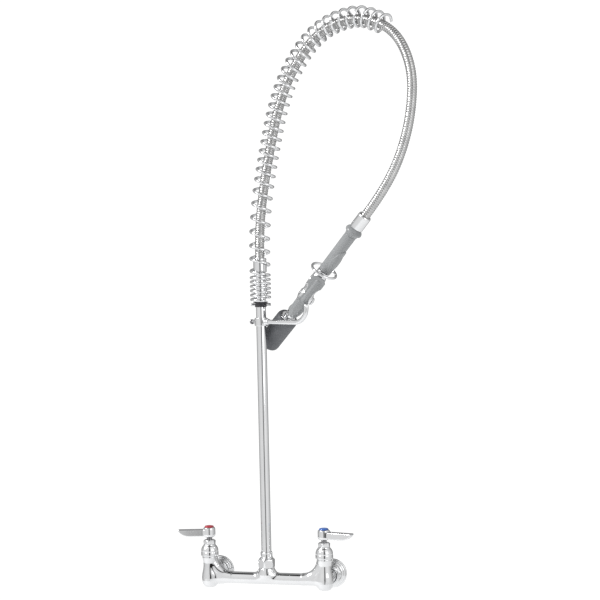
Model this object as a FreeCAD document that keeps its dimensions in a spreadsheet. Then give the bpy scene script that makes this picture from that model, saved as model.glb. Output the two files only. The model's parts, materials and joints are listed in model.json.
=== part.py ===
"""Wall-mounted pre-rinse faucet: mixing faucet, riser, overhead spring, hose and spray valve.

Millimetres, +Z up. The origin is on the wall, midway between the two inlets. +Y points into
the wall and +X to the right of a person facing it, so the whole faucet lies at negative y.
"""
import FreeCAD, Part
import math
import os
import Sketcher

V = FreeCAD.Vector
doc = FreeCAD.newDocument("pre_rinse_faucet")

# ---------------------------------------------------------------------------------------
# Driving dimensions. Lengths in millimetres, angles in degrees.
DIMENSIONS = {
    # faucet body on the wall
    "inlet_spacing": 203.2, "wall_gap": 60.0, "flange_radius": 25.5, "flange_depth": 9.0,
    "coupling_radius": 18.0, "coupling_depth": 26.0, "inlet_thread_radius": 9.3,
    "inlet_thread_depth": 13.0, "washer_thickness": 2.0,
    "tower_radius": 13.0, "bulb_radius": 15.0, "tower_top": 37.0, "tower_bottom": -18.0,
    "bar_radius": 10.2, "waterway_radius": 6.5, "arm_radius": 12.5, "web_thickness": 15.0,
    "web_radius": 17.0, "boss_radius": 13.0, "boss_top": 19.0, "cavity_radius": 10.0,
    # valves in the towers
    "bonnet_radius": 15.2, "bonnet_top": 57.0, "packing_radius": 9.6, "packing_top": 64.5,
    "stem_radius": 4.6, "stem_bottom": 14.0, "stem_top": 84.0, "seat_radius": 9.4,
    "seat_top": 10.0, "seat_bottom": 2.0,
    # lever handles
    "hub_radius": 10.7, "hub_bottom": 69.0, "hub_top": 86.0, "lever_reach": 54.0,
    "lever_root_half": 6.4, "lever_tip_half": 8.6, "lever_tip_low": 71.5, "cap_radius": 8.0,
    "lever_forward": 13.0,
    # riser
    "riser_radius": 8.57, "riser_bore": 6.2, "riser_bottom": 24.3, "riser_length": 470.0,
    "riser_nut_flats": 26.0, "riser_nut_top": 34.5, "riser_collar_radius": 10.2,
    "riser_collar_top": 46.0,
    # finger hook
    "hook_height": 439.5, "hook_heading": -26.0, "hook_rod_radius": 4.0, "hook_rod_reach": 76.0,
    "hook_bend": 24.5, "clamp_radius": 11.2, "clamp_height": 14.0,
    # overhead spring
    "spring_bottom": 475.2, "spring_coil_radius": 15.8, "spring_wire_radius": 2.3,
    "spring_start_angle": 20.0, "holder_radius": 10.2, "holder_height": 9.0,
    "holder_rim_radius": 12.8,
    # hose
    "arch_heading": -20.0, "hose_radius": 8.0, "hose_bore": 5.4, "ferrule_radius": 11.4,
    "ferrule_length": 27.0, "hose_start": 548.4, "hose_nut_length": 22.0,
    # spray valve, along its own axis from the hose ferrule towards the head
    "valve_x": 180.9, "valve_y": -117.3, "valve_z": 594.0, "valve_heading": 158.5,
    "valve_pitch": 46.5, "valve_roll": -122.0,
    "grip_radius": 10.4, "grip_start": 15.0, "grip_end": 95.0, "collar_radius": 14.6,
    "water_tube_radius": 6.4, "ring_place": 95.5, "ring_radius": 21.7, "ring_wire": 1.95,
    "ring_tilt": 8.0, "body_start": 95.6, "body_end": 190.0, "plunger_place": 141.0,
    "plunger_radius": 2.6, "pin_place": 181.0, "pin_height": 15.0, "pin_radius": 1.9,
    "lever_height": 21.0, "lever_thickness": 2.6, "guide_top": 12.4,
    "head_place": 208.0, "head_drop": 12.0, "head_tilt": 12.0, "head_radius": 19.0,
    "head_length": 71.5, "head_wall": 3.0,
}


class Size:
    """A number together with the spreadsheet expression that gives it."""

    def __init__(self, value, text):
        self.value, self.text = float(value), text

    @staticmethod
    def of(thing):
        return thing if isinstance(thing, Size) else Size(thing, f"{thing:.6g}")

    def joined(self, other, sign, value):
        return Size(value, f"({self.text} {sign} {other.text})")

    def __add__(self, other):
        other = Size.of(other)
        return self.joined(other, "+", self.value + other.value)

    def __sub__(self, other):
        other = Size.of(other)
        return self.joined(other, "-", self.value - other.value)

    def __mul__(self, other):
        other = Size.of(other)
        return self.joined(other, "*", self.value * other.value)

    def __truediv__(self, other):
        other = Size.of(other)
        return self.joined(other, "/", self.value / other.value)

    def __neg__(self):
        return Size(-self.value, f"(0 - {self.text})")


def make_sheet():
    sheet = doc.addObject("Spreadsheet::Sheet", "Sizes")
    for row, (name, value) in enumerate(DIMENSIONS.items(), 1):
        sheet.set(f"A{row}", name)
        sheet.set(f"B{row}", str(value))
        sheet.setAlias(f"B{row}", name)
    doc.recompute()
    return sheet


sheet = make_sheet()
D = {name: Size(value, f"Sizes.{name}") for name, value in DIMENSIONS.items()}
TOWER_X = D["inlet_spacing"] / 2
AXIS_Y = -D["wall_gap"]
nodes = {}


# ---------------------------------------------------------------------------------------
# Helpers

def bind(thing, **sizes):
    """Tie properties of a document object to the sheet."""
    for name, size in sizes.items():
        size = Size.of(size)
        setattr(thing, name, size.value)
        thing.setExpression(name, size.text)
    return thing


def place(thing, x=0.0, y=0.0, z=0.0, rotation=None):
    """Put an object at sheet-driven coordinates."""
    thing.Placement = FreeCAD.Placement(V(0, 0, 0), rotation or FreeCAD.Rotation())
    for letter, size in zip("xyz", (x, y, z)):
        size = Size.of(size)
        thing.setExpression(f"Placement.Base.{letter}", size.text)
    return thing


def keep(label, thing):
    """Name a finished sub-part, which becomes the node of that name."""
    thing.Label = label
    nodes[label] = thing
    return thing


def turn_to(direction, sideways=V(1, 0, 0)):
    """The rotation that takes +Z to a direction, with +X near the sideways direction."""
    return FreeCAD.Rotation(sideways, V(), direction, "ZXY")


ALONG_Y = turn_to(V(0, 1, 0))
TOWARDS_ROOM = turn_to(V(0, -1, 0))
ALONG_X = turn_to(V(1, 0, 0), V(0, 0, -1))


def cylinder(radius, length, x=0.0, y=0.0, z=0.0, rotation=None):
    solid = bind(doc.addObject("Part::Cylinder", "cylinder"), Radius=radius, Height=length)
    return place(solid, x, y, z, rotation)


def ball(radius, x=0.0, y=0.0, z=0.0):
    return place(bind(doc.addObject("Part::Sphere", "ball"), Radius=radius), x, y, z)


def box(length, width, height, x=0.0, y=0.0, z=0.0, rotation=None):
    solid = bind(doc.addObject("Part::Box", "box"), Length=length, Width=width, Height=height)
    return place(solid, x, y, z, rotation)


def hexagon(flats, height, x=0.0, y=0.0, z=0.0, rotation=None):
    solid = bind(doc.addObject("Part::Prism", "hexagon"),
                 Circumradius=Size.of(flats) / math.sqrt(3), Height=height)
    solid.Polygon = 6
    return place(solid, x, y, z, rotation)


def fuse(*solids):
    joined = doc.addObject("Part::MultiFuse", "fuse")
    joined.Shapes = list(solids)
    joined.Refine = True
    return joined


def cut(base, *tools):
    for tool in tools:
        result = doc.addObject("Part::Cut", "cut")
        result.Base, result.Tool = base, tool
        result.Refine = True
        base = result
    return base


def common(one, other):
    result = doc.addObject("Part::Common", "common")
    result.Base, result.Tool = one, other
    return result


def group(*solids):
    """Several separate solids in one node."""
    result = doc.addObject("Part::Compound", "group")
    result.Links = list(solids)
    return result


def origin_plane(body, role):
    return next(item for item in body.Origin.OriginFeatures if item.Role == role)


def pin_point(sketch, geometry, end, x, y):
    """Hold a point of the sketch at sheet-driven coordinates."""
    for kind, size in (("DistanceX", Size.of(x)), ("DistanceY", Size.of(y))):
        index = sketch.addConstraint(
            Sketcher.Constraint(kind, -1, 1, geometry, end, size.value))
        sketch.setExpression(f"Constraints[{index}]", size.text)


def outline(sketch, points):
    """Draw a closed outline through (x, y) points.

    A third number bends the edge that leaves the point: it is the edge's rise over its
    chord, positive when the edge swells to the right of its direction of travel.
    """
    corners = [tuple(Size.of(value) for value in point[:2]) for point in points]
    rises = [point[2] if len(point) > 2 else 0.0 for point in points]
    for number, rise in enumerate(rises):
        (ax, ay), (bx, by) = corners[number], corners[(number + 1) % len(corners)]
        start, end = V(ax.value, ay.value, 0), V(bx.value, by.value, 0)
        if rise:
            chord = end - start
            outward = V(chord.y, -chord.x, 0).normalize()
            radius = chord.Length ** 2 / (8 * abs(rise)) + abs(rise) / 2
            centre = (start + end) * 0.5 + outward * (rise - math.copysign(radius, rise))
            ends = [start, end] if rise > 0 else [end, start]
            angles = [math.atan2(point.y - centre.y, point.x - centre.x) for point in ends]
            circle = Part.Circle(centre, V(0, 0, 1), radius)
            sketch.addGeometry(Part.ArcOfCircle(circle, *angles), False)
            first = 1 if rise > 0 else 2
            pin_point(sketch, number, first, ax, ay)
            pin_point(sketch, number, 3 - first, bx, by)
            index = sketch.addConstraint(
                Sketcher.Constraint("Radius", number, radius))
            half = ((bx - ax) * (bx - ax) + (by - ay) * (by - ay)) / 4
            sketch.setExpression(
                f"Constraints[{index}]", (half / (2 * abs(rise)) + abs(rise) / 2).text)
        else:
            sketch.addGeometry(Part.LineSegment(start, end), False)
            pin_point(sketch, number, 1, ax, ay)
            pin_point(sketch, number, 2, bx, by)


def sketched(body, role, points):
    sketch = body.newObject("Sketcher::SketchObject", "outline")
    sketch.AttachmentSupport = [(origin_plane(body, role), "")]
    sketch.MapMode = "FlatFace"
    outline(sketch, points)
    doc.recompute()
    return sketch


def turned(points, x=0.0, y=0.0, z=0.0, rotation=None):
    """A solid of revolution about its own Z axis, from (radius, height) points."""
    body = doc.addObject("PartDesign::Body", "turned")
    sketch = sketched(body, "XZ_Plane", points)
    feature = body.newObject("PartDesign::Revolution", "turn")
    feature.Profile = sketch
    feature.ReferenceAxis = (sketch, ["V_Axis"])
    feature.Angle = 360
    sketch.Visibility = False
    return place(body, x, y, z, rotation)


def plate(points, thickness, role="XZ_Plane", x=0.0, y=0.0, z=0.0, rotation=None):
    """A flat piece of even thickness, centred on its sketch plane."""
    body = doc.addObject("PartDesign::Body", "plate")
    sketch = sketched(body, role, points)
    feature = body.newObject("PartDesign::Pad", "pad")
    feature.Profile = sketch
    feature.Midplane = True
    bind(feature, Length=thickness)
    return place(body, x, y, z, rotation)


def tube(outer, inner, low, high, x=0.0, y=0.0, z=0.0, rotation=None):
    """A plain sleeve between two heights."""
    return turned([(inner, low), (outer, low), (outer, high), (inner, high)], x, y, z, rotation)


# ---------------------------------------------------------------------------------------
# Faucet body and its wall connections

def mixing_body():
    """One casting: two towers, the bar between them, the riser boss and the inlet arms."""
    solids, hollows = [], []
    solids.append(cylinder(D["bar_radius"], TOWER_X * 2, -TOWER_X, AXIS_Y, 0, ALONG_X))
    hollows.append(cylinder(D["waterway_radius"], TOWER_X * 2, -TOWER_X, AXIS_Y, 0, ALONG_X))
    rim = D["tower_radius"] + 1.2
    for side in (-1, 1):
        x = TOWER_X * side
        solids.append(turned([
            (0, D["tower_bottom"]), (7, D["tower_bottom"], 3.2), (D["bulb_radius"], -4),
            (D["bulb_radius"], 4, -0.8), (D["tower_radius"], 15),
            (D["tower_radius"], D["tower_top"] - 5), (rim, D["tower_top"] - 3.5),
            (rim, D["tower_top"] - 0.8), (rim - 0.8, D["tower_top"]), (0, D["tower_top"]),
        ], x, AXIS_Y))
        arm_length = D["wall_gap"] - D["inlet_thread_depth"] - D["washer_thickness"]
        solids.append(cylinder(D["arm_radius"], arm_length, x, AXIS_Y, 0, ALONG_Y))
        hollows.append(cylinder(D["waterway_radius"], arm_length, x, AXIS_Y, 0, ALONG_Y))
        hollows.append(cylinder(D["cavity_radius"], D["tower_top"] - D["seat_bottom"],
                                x, AXIS_Y, D["seat_bottom"]))
        far = D["web_radius"] + 17
        web = plate([(0, -2), (far, -2), (far, D["bar_radius"] - 0.6, -5.0),
                     (D["tower_radius"] - 1.0, D["web_radius"] + D["bar_radius"]),
                     (0, D["web_radius"] + D["bar_radius"])], D["web_thickness"])
        solids.append(place(web, x, AXIS_Y, 0,
                            FreeCAD.Rotation(V(0, 0, 1), 180 if side > 0 else 0)))
    solids.append(turned([
        (0, -12), (11, -12), (14.5, -4), (15.5, 6), (D["boss_radius"] + 0.6, 11),
        (D["boss_radius"], D["boss_top"]), (11.3, D["boss_top"]),
        (11.3, D["boss_top"] + 3.5), (0, D["boss_top"] + 3.5),
    ], 0, AXIS_Y))
    hollows.append(cylinder(D["waterway_radius"], 40, 0, AXIS_Y, 0))
    return cut(fuse(*solids), *hollows)


def inlet_coupling(x):
    """Female-threaded union: a hexagon towards the room, round behind the wall flange."""
    depth, thread = D["coupling_depth"], D["inlet_thread_depth"]
    wrench = hexagon(D["coupling_radius"] * 2 - 2, depth - 10, x, -10, 0, TOWARDS_ROOM)
    barrel = cylinder(D["coupling_radius"] - 1, 10.5, x, 0, 0, TOWARDS_ROOM)
    corner = D["coupling_radius"] + 2.4
    shape = turned([(0, 0), (corner, 0), (corner, depth - 3), (corner - 3.4, depth), (0, depth)],
                   x, 0, 0, TOWARDS_ROOM)
    thread_hole = cylinder(D["inlet_thread_radius"], thread, x, 0, 0, TOWARDS_ROOM)
    arm_hole = cylinder(D["arm_radius"] + 0.1, depth - thread + 1, x, -thread, 0, TOWARDS_ROOM)
    return cut(common(fuse(wrench, barrel), shape), thread_hole, arm_hole)


def wall_side(name, side):
    x = TOWER_X * side
    keep(f"{name}_inlet_coupling", inlet_coupling(x))
    rim, hole, depth = D["flange_radius"], D["coupling_radius"] - 0.7, D["flange_depth"]
    keep(f"{name}_wall_flange", turned([
        (hole, 0), (rim, 0), (rim, 1.6), (rim - 1.2, 3.0, 2.0), (hole + 1.2, depth),
        (hole, depth)], x, 0, 0, TOWARDS_ROOM))
    keep(f"{name}_inlet_washer", place(
        tube(D["arm_radius"] - 0.2, D["waterway_radius"] + 0.3, 0, D["washer_thickness"]),
        x, -D["inlet_thread_depth"], 0, TOWARDS_ROOM))


# ---------------------------------------------------------------------------------------
# Valves in the towers, and their lever handles

def tower_valve(name, side):
    x = TOWER_X * side
    top, bonnet, stem = D["tower_top"], D["bonnet_radius"], D["stem_radius"]
    spigot = D["cavity_radius"] - 0.2
    keep(f"{name}_bonnet", turned([
        (stem + 0.4, top - 12), (spigot, top - 12), (spigot, top), (bonnet - 0.8, top),
        (bonnet, top + 0.8), (bonnet, top + 5.5), (bonnet - 1.2, top + 6.5, 2.6),
        (D["packing_radius"] + 0.4, D["bonnet_top"] - 1.2),
        (D["packing_radius"] + 0.4, D["bonnet_top"]), (stem + 0.4, D["bonnet_top"])],
        x, AXIS_Y))
    keep(f"{name}_bonnet_washer", tube(
        spigot, stem + 0.6, top - 12 - D["washer_thickness"], top - 12, x, AXIS_Y))
    height = D["packing_top"] - D["bonnet_top"]
    nut = hexagon(D["packing_radius"] * 2, height, x, AXIS_Y, D["bonnet_top"])
    corner = D["packing_radius"] + 1.3
    bevel = turned([(0, 0), (corner, 0), (corner, height - 1.2), (corner - 1.7, height),
                    (0, height)], x, AXIS_Y, D["bonnet_top"])
    hole = cylinder(stem + 0.4, height, x, AXIS_Y, D["bonnet_top"])
    keep(f"{name}_packing_nut", cut(common(nut, bevel), hole))
    keep(f"{name}_seat", turned([
        (3.6, D["seat_bottom"]), (D["seat_radius"], D["seat_bottom"]),
        (D["seat_radius"], D["seat_top"] - 1.5), (5.2, D["seat_top"]), (3.6, D["seat_top"])],
        x, AXIS_Y))
    low = D["stem_bottom"]
    stem_end = D["hub_top"] - 4
    keep(f"{name}_stem", turned([
        (0, low), (7.6, low), (7.6, low + 4), (stem, low + 5.5), (stem, stem_end),
        (2.1, stem_end), (2.1, stem_end - 11), (0, stem_end - 11)], x, AXIS_Y))
    keep(f"{name}_seat_washer", cylinder(7.2, low - D["seat_top"] - 0.5, x, AXIS_Y,
                                         D["seat_top"] + 0.5))


def lever_handle(name, side):
    """Hub with a tapering paddle that stands out sideways when the valve is shut."""
    x = TOWER_X * side
    forward = DIMENSIONS["lever_forward"]
    outward = FreeCAD.Rotation(V(0, 0, 1), -forward if side > 0 else 180 + forward)
    hub, low, top = D["hub_radius"], D["hub_bottom"], D["hub_top"]
    reach, root, tip = D["lever_reach"], D["lever_root_half"], D["lever_tip_half"]
    barrel = turned([
        (0, low), (hub - 2.6, low), (hub - 0.6, low + 1.4, 0.6), (hub, low + 5),
        (hub, top - 3.2, 0.9), (hub - 2.4, top), (0, top)])
    side_view = plate([
        (0, low + 1.2), (hub, low + 1.2), (reach - 11, D["lever_tip_low"], 1.2),
        (reach, top - 6.4), (reach - 0.8, top - 4.2), (hub + 4, top - 3.8),
        (0, top - 3.8)], 40)
    plan_view = plate([
        (0, -root - 1.5), (hub, -root, -0.8), (reach - 7, -tip, 7.0), (reach - 7, tip, -0.8),
        (hub, root), (0, root + 1.5)], 200, "XY_Plane")
    paddle = common(side_view, plan_view)
    holes = [cylinder(D["stem_radius"] + 0.05, top - 4 - low, 0, 0, low),
             cylinder(5.2, 4, 0, 0, top - 4)]
    keep(f"{name}_lever", place(cut(fuse(barrel, paddle), *holes), x, AXIS_Y, 0, outward))
    keep(f"{name}_screw", turned([
        (0, top - 14), (2.0, top - 14), (2.0, top - 4), (4.2, top - 4), (4.2, top - 2.6, 0.5),
        (3.0, top - 1.6), (1.2, top - 1.6), (1.2, top - 3.2), (0, top - 3.2)], x, AXIS_Y))
    cap = D["cap_radius"]
    keep(f"{name}_index_cap", turned([
        (0, top - 1.4), (5.0, top - 1.4), (5.0, top), (cap, top), (cap, top + 1.4, 0.4),
        (cap - 1.2, top + 2.6, 0.2), (2.5, top + 3.2), (0, top + 3.2)], x, AXIS_Y))


# ---------------------------------------------------------------------------------------
# Riser, finger hook and spring holder

def heading_vector(degrees):
    angle = math.radians(degrees)
    return V(math.cos(angle), math.sin(angle), 0)


def riser():
    radius, bore = D["riser_radius"], D["riser_bore"]
    bottom, nut_top, boss = D["riser_bottom"], D["riser_nut_top"], D["boss_top"]
    gap = 0.35
    shoulder = bottom + 2.6
    keep("riser_pipe", turned([
        (bore, bottom), (10.8, bottom), (10.8, shoulder), (radius, shoulder),
        (radius, bottom + D["riser_length"]), (bore, bottom + D["riser_length"])], 0, AXIS_Y))
    keep("riser_washer", tube(10.8, D["waterway_radius"] + 0.3, boss + 3.5, bottom - 0.35,
                              0, AXIS_Y))
    height = nut_top - boss
    nut = hexagon(D["riser_nut_flats"], height, 0, AXIS_Y, boss)
    half = D["riser_nut_flats"] / 2
    bevel = turned([
        (0, 0), (half + 0.6, 0), (half + 1.9, 1.2), (half + 1.9, height - 2.2),
        (half - 0.4, height), (0, height)], 0, AXIS_Y, boss)
    holes = [cylinder(11.35, shoulder + gap - boss, 0, AXIS_Y, boss),
             cylinder(radius + gap, height, 0, AXIS_Y, boss)]
    keep("riser_nut", cut(common(nut, bevel), *holes))
    collar = D["riser_collar_radius"]
    keep("riser_collar", turned([
        (radius + gap, nut_top), (collar + 1.0, nut_top), (collar + 1.0, nut_top + 1.6),
        (collar, nut_top + 2.4), (collar, D["riser_collar_top"] - 1.8, 0.5),
        (collar - 1.2, D["riser_collar_top"]), (radius + gap, D["riser_collar_top"])],
        0, AXIS_Y))


def finger_hook():
    """Clamp round the riser with a bent rod that cradles the spray valve."""
    centre = D["hook_height"]
    along = heading_vector(DIMENSIONS["hook_heading"])
    rod, reach, bend = D["hook_rod_radius"], D["hook_rod_reach"], D["hook_bend"]
    to_rod = turn_to(along, V(0, 0, 1))
    to_screw = turn_to(-along, V(0, 0, 1))
    height = D["clamp_height"]
    low = centre - height / 2
    ring = turned([
        (0, low), (D["clamp_radius"] - 0.8, low), (D["clamp_radius"], low + 0.8),
        (D["clamp_radius"], low + height - 0.8), (D["clamp_radius"] - 0.8, low + height),
        (0, low + height)], 0, AXIS_Y)
    socket = turned([(0, 0), (5.6, 0), (5.6, 16.5, 0.3), (4.6, 17.6), (0, 17.6)],
                    0, AXIS_Y, centre, to_rod)
    screw_boss = turned([(0, 0), (4.4, 0), (4.4, 14), (0, 14)], 0, AXIS_Y, centre, to_screw)
    holes = [cylinder(D["riser_radius"] + 0.35, height + 2, 0, AXIS_Y, low - 1),
             cylinder(rod, 7.0, 12.0 * along.x, AXIS_Y + 12.0 * along.y, centre, to_rod),
             cylinder(2.35, 12, 0, AXIS_Y, centre, to_screw),
             cylinder(2.35, 12, -8.0 * along.x, AXIS_Y - 8.0 * along.y, centre, to_screw)]
    keep("hook_clamp", cut(fuse(ring, socket, screw_boss), *holes))

    start = 12.0
    straight = cylinder(rod, reach - start, start * along.x, AXIS_Y + start * along.y,
                        centre, to_rod)
    elbow = doc.addObject("Part::Torus", "elbow")
    bind(elbow, Radius1=bend, Radius2=rod, Angle3=90)
    place(elbow, reach * along.x, AXIS_Y + reach * along.y, centre + bend,
          FreeCAD.Rotation(V(0, 0, -1), along, V(), "XYZ"))
    tip_x, tip_y = (reach + bend) * along.x, AXIS_Y + (reach + bend) * along.y
    tip = cylinder(rod, 3.0, tip_x, tip_y, centre + bend)
    keep("hook_rod", fuse(straight, elbow, tip, ball(rod, tip_x, tip_y, centre + bend + 3.0)))

    keep("hook_thumb_screw", turned([
        (0, 9.1), (2.0, 9.1), (2.0, 15.0), (3.9, 15.0), (3.9, 17.6), (2.4, 17.6), (2.4, 19.4),
        (4.3, 19.4), (4.3, 22.6, 0.4), (3.6, 23.4), (0, 23.4)], 0, AXIS_Y, centre, to_screw))


def spring_holder():
    top, height, radius = D["spring_bottom"] - 1.4, D["holder_height"], D["holder_radius"]
    rim = D["holder_rim_radius"]
    low = top - height
    across = heading_vector(14.0)
    body = turned([
        (D["riser_radius"] + 0.05, low), (radius - 0.8, low), (radius, low + 0.8),
        (radius, top - 1.9), (rim, top - 1.4), (rim, top - 0.5), (rim - 0.5, top),
        (D["riser_radius"] + 0.05, top)], 0, AXIS_Y)
    middle = top - 4.8
    holes, screws = [], []
    for direction in (across, -across):
        aim = turn_to(direction, V(0, 0, 1))
        holes.append(cylinder(2.0, radius, 0, AXIS_Y, middle, aim))
        screws.append(turned([
            (0, 8.7), (1.95, 8.7), (1.95, radius + 0.2), (2.5, radius + 0.2), (2.5, 17.0),
            (1.9, 17.6), (0, 17.6)], 0, AXIS_Y, middle, aim))
    keep("spring_holder", cut(body, *holes))
    keep("spring_holder_screws", group(*screws))


# ---------------------------------------------------------------------------------------
# Hose, its lower fittings, and the overhead spring. Routes are (reach, height, depth):
# reach along the arch heading from the riser, depth square to it, towards the wall.

HOSE_ROUTE = [
    (0, 548.4, 0), (0, 590, 0), (9, 655, 0), (25, 726, 0), (45, 800, 0), (75, 862, 0),
    (130, 920, 0), (202, 937, 0), (273, 911, 0), (306, 846, 1), (300, 769, 3), (275, 699, 5),
    (237, 644, 7), (208.4, 613.9, 7.6),
]
ARCH = heading_vector(DIMENSIONS["arch_heading"])
ARCH_SIDE = V(-ARCH.y, ARCH.x, 0)


def in_arch(reach, height, depth=0.0):
    return V(0, -DIMENSIONS["wall_gap"], height) + ARCH * reach + ARCH_SIDE * depth


def smooth_route(points):
    """Straight runs joined by tangent arcs, each as large as its two runs allow."""
    edges, radii = [], []
    start = points[0]
    for before, corner, after in zip(points, points[1:], points[2:]):
        back, ahead = before - corner, after - corner
        turn = math.pi - back.getAngle(ahead)
        trim = 0.45 * min(back.Length, ahead.Length)
        radii.append(trim / math.tan(turn / 2))
        enter = corner + back.normalize() * trim
        leave = corner + ahead.normalize() * trim
        inward = (enter + leave) * 0.5 - corner
        centre = corner + inward.normalize() * (radii[-1] / math.cos(turn / 2))
        middle = centre + (corner - centre).normalize() * radii[-1]
        edges.append(Part.LineSegment(start, enter).toShape())
        edges.append(Part.Arc(enter, middle, leave).toShape())
        start = leave
    edges.append(Part.LineSegment(start, points[-1]).toShape())
    return Part.Wire(edges), radii


def hose():
    points = [in_arch(*point) for point in HOSE_ROUTE]
    wire, radii = smooth_route(points)
    radius = DIMENSIONS["hose_radius"]
    ring = Part.Wire(Part.Circle(points[0], points[1] - points[0], radius).toShape())
    solid = wire.makePipeShell([ring], True, True)
    expected = math.pi * radius ** 2 * wire.Length
    print("hose length", round(wire.Length, 1), "radii", [round(value) for value in radii])
    if abs(solid.Volume / expected - 1) > 0.005:
        raise ValueError("the hose tube doesn't have the volume of its section times its length")
    tube_object = doc.addObject("Part::Feature", "hose")
    tube_object.Shape = solid
    keep("spray_hose", tube_object)


def hose_fittings():
    start, radius = D["hose_start"], D["ferrule_radius"]
    ferrule_low = start - 24.4
    keep("lower_ferrule", turned([
        (D["hose_bore"], ferrule_low), (radius - 0.6, ferrule_low), (radius, ferrule_low + 0.6),
        (radius, start - 1.2), (radius - 1.2, start), (D["hose_bore"], start)], 0, AXIS_Y))
    nut_low = ferrule_low - 42
    pipe_top = D["riser_bottom"] + D["riser_length"]
    keep("hose_nut", turned([
        (D["riser_radius"] + 0.05, nut_low), (radius - 1.0, nut_low), (radius, nut_low + 1.0),
        (radius, nut_low + 24), (radius - 2.0, nut_low + 26), (radius - 2.0, ferrule_low),
        (D["hose_bore"], ferrule_low), (D["hose_bore"], pipe_top + 2.0),
        (D["riser_radius"] + 0.05, pipe_top + 2.0)], 0, AXIS_Y))
    keep("hose_washer", tube(D["riser_radius"] - 0.1, D["riser_bore"], pipe_top, pipe_top + 2.0,
                             0, AXIS_Y))


# The spring's own route and its pitch along that route: (distance, rise per turn).
SPRING_ROUTE = [
    (0, 475.2), (0, 510), (0, 545), (0.5, 590), (8, 655), (24, 726), (43.5, 800), (73, 863),
    (128.5, 922), (202, 940), (246, 923.5), (257, 917.5),
]
SPRING_PITCH = [
    (0, 7.5), (44, 7.5), (48, 20), (107, 23.5), (137, 24.2), (182, 21.2), (212, 17), (232, 15.5),
    (603, 15.3), (617, 5.6), (700, 5.6),
]
SAMPLES_PER_RUN = 40
STEPS_PER_TURN = 3


def spline_points(points):
    """A dense polyline along the quadratic B-spline of a control polygon."""
    joints = [points[0]] + [(a + b) * 0.5 for a, b in zip(points[1:], points[2:-1])]
    joints.append(points[-1])
    line = [points[0]]
    for start, control, end in zip(joints, points[1:-1], joints[1:]):
        for step in range(1, SAMPLES_PER_RUN + 1):
            t = step / SAMPLES_PER_RUN
            line.append(start * (1 - t) ** 2 + control * (2 * t * (1 - t)) + end * t ** 2)
    return line


def pitch_at(distance):
    for (low, first), (high, second) in zip(SPRING_PITCH, SPRING_PITCH[1:]):
        if distance <= high:
            return first + (second - first) * (distance - low) / (high - low)
    return SPRING_PITCH[-1][1]


def spring_turns(line):
    """(point, turning angle) all along the route."""
    turned_so_far, distance, result = 0.0, 0.0, [(line[0], 0.0)]
    for before, after in zip(line, line[1:]):
        step = (after - before).Length
        turned_so_far += 2 * math.pi * step / pitch_at(distance + step / 2)
        distance += step
        result.append((after, turned_so_far))
    return result


def coil_point(turns, angle):
    """The centre of the overhead spring's wire, a left-hand coil, after an angle of turning."""
    number = next((spot for spot in range(1, len(turns)) if turns[spot][1] >= angle),
                  len(turns) - 1)
    (before, low), (after, high) = turns[number - 1], turns[number]
    centre = before + (after - before) * ((angle - low) / (high - low))
    first, last = max(number - 2, 0), min(number + 1, len(turns) - 1)
    ahead = (turns[last][0] - turns[first][0]).normalize()
    outward = ARCH_SIDE.cross(ahead).normalize()
    radius = DIMENSIONS["spring_coil_radius"]
    turn = angle + math.radians(DIMENSIONS["spring_start_angle"])
    return centre + outward * (radius * math.cos(turn)) - ARCH_SIDE * (radius * math.sin(turn))


def two_arcs(start, start_way, end, end_way):
    """The middle point where two arcs join smoothly between two points and directions."""
    gap = end - start
    ways = start_way + end_way
    a = 2 * (1 - start_way.dot(end_way))
    b = 2 * gap.dot(ways)
    reach = (-b + math.sqrt(b * b + 4 * a * gap.dot(gap))) / (2 * a)
    return ((start + start_way * reach) + (end - end_way * reach)) * 0.5


def swept_by_arc(section, start, way, end):
    """Turn a ring-shaped edge along the arc that leaves start in direction way."""
    gap = end - start
    axis = way.cross(gap)
    inward = axis.cross(way).normalize()
    radius = gap.dot(gap) / (2 * gap.dot(inward))
    angle = 2 * math.asin(min(1.0, gap.Length / (2 * radius)))
    if gap.dot(way) < 0:
        angle = 2 * math.pi - angle
    axis.normalize()
    centre = start + inward * radius
    face = section.revolve(centre, axis, math.degrees(angle))
    moved = section.copy()
    moved.rotate(centre, axis, math.degrees(angle))
    return face, moved, FreeCAD.Rotation(axis, math.degrees(angle)).multVec(way)


def coiled_wire(point_at, total, wire_radius):
    """A round wire through point_at(angle) for all angles up to total, made of tangent arcs."""
    steps = int(total / (2 * math.pi) * STEPS_PER_TURN)
    angles = [total * number / steps for number in range(steps + 1)]
    small = 0.002
    points = [point_at(angle) for angle in angles]
    ways = [(point_at(min(angle + small, total)) - point_at(max(angle - small, 0))).normalize()
            for angle in angles]
    way = ways[0]
    section = Part.Circle(points[0], way, wire_radius).toShape()
    faces = [Part.Face(Part.Wire(section))]
    for start, end, end_way in zip(points, points[1:], ways[1:]):
        middle = two_arcs(start, way, end, end_way)
        for low, high in ((start, middle), (middle, end)):
            face, section, way = swept_by_arc(section, low, way, high)
            faces.append(face)
    faces.append(Part.Face(Part.Wire(section)))
    shell = Part.makeCompound(faces)
    shell.sewShape()
    solid = Part.Solid(shell.Shells[0])
    if solid.Volume < 0:
        solid.reverse()
    coil = doc.addObject("Part::Feature", "coil")
    coil.Shape = solid
    return coil


def overhead_spring():
    turns = spring_turns(spline_points([in_arch(*point) for point in SPRING_ROUTE]))
    total = turns[-1][1]
    print("spring turns", round(total / (2 * math.pi), 1))
    keep("overhead_spring", coiled_wire(lambda angle: coil_point(turns, angle), total,
                                        DIMENSIONS["spring_wire_radius"]))


# ---------------------------------------------------------------------------------------
# Spray valve. Its own frame has Z from the hose ferrule towards the head, X towards the
# squeeze lever, and its origin where the ferrule meets the handle.

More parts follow.
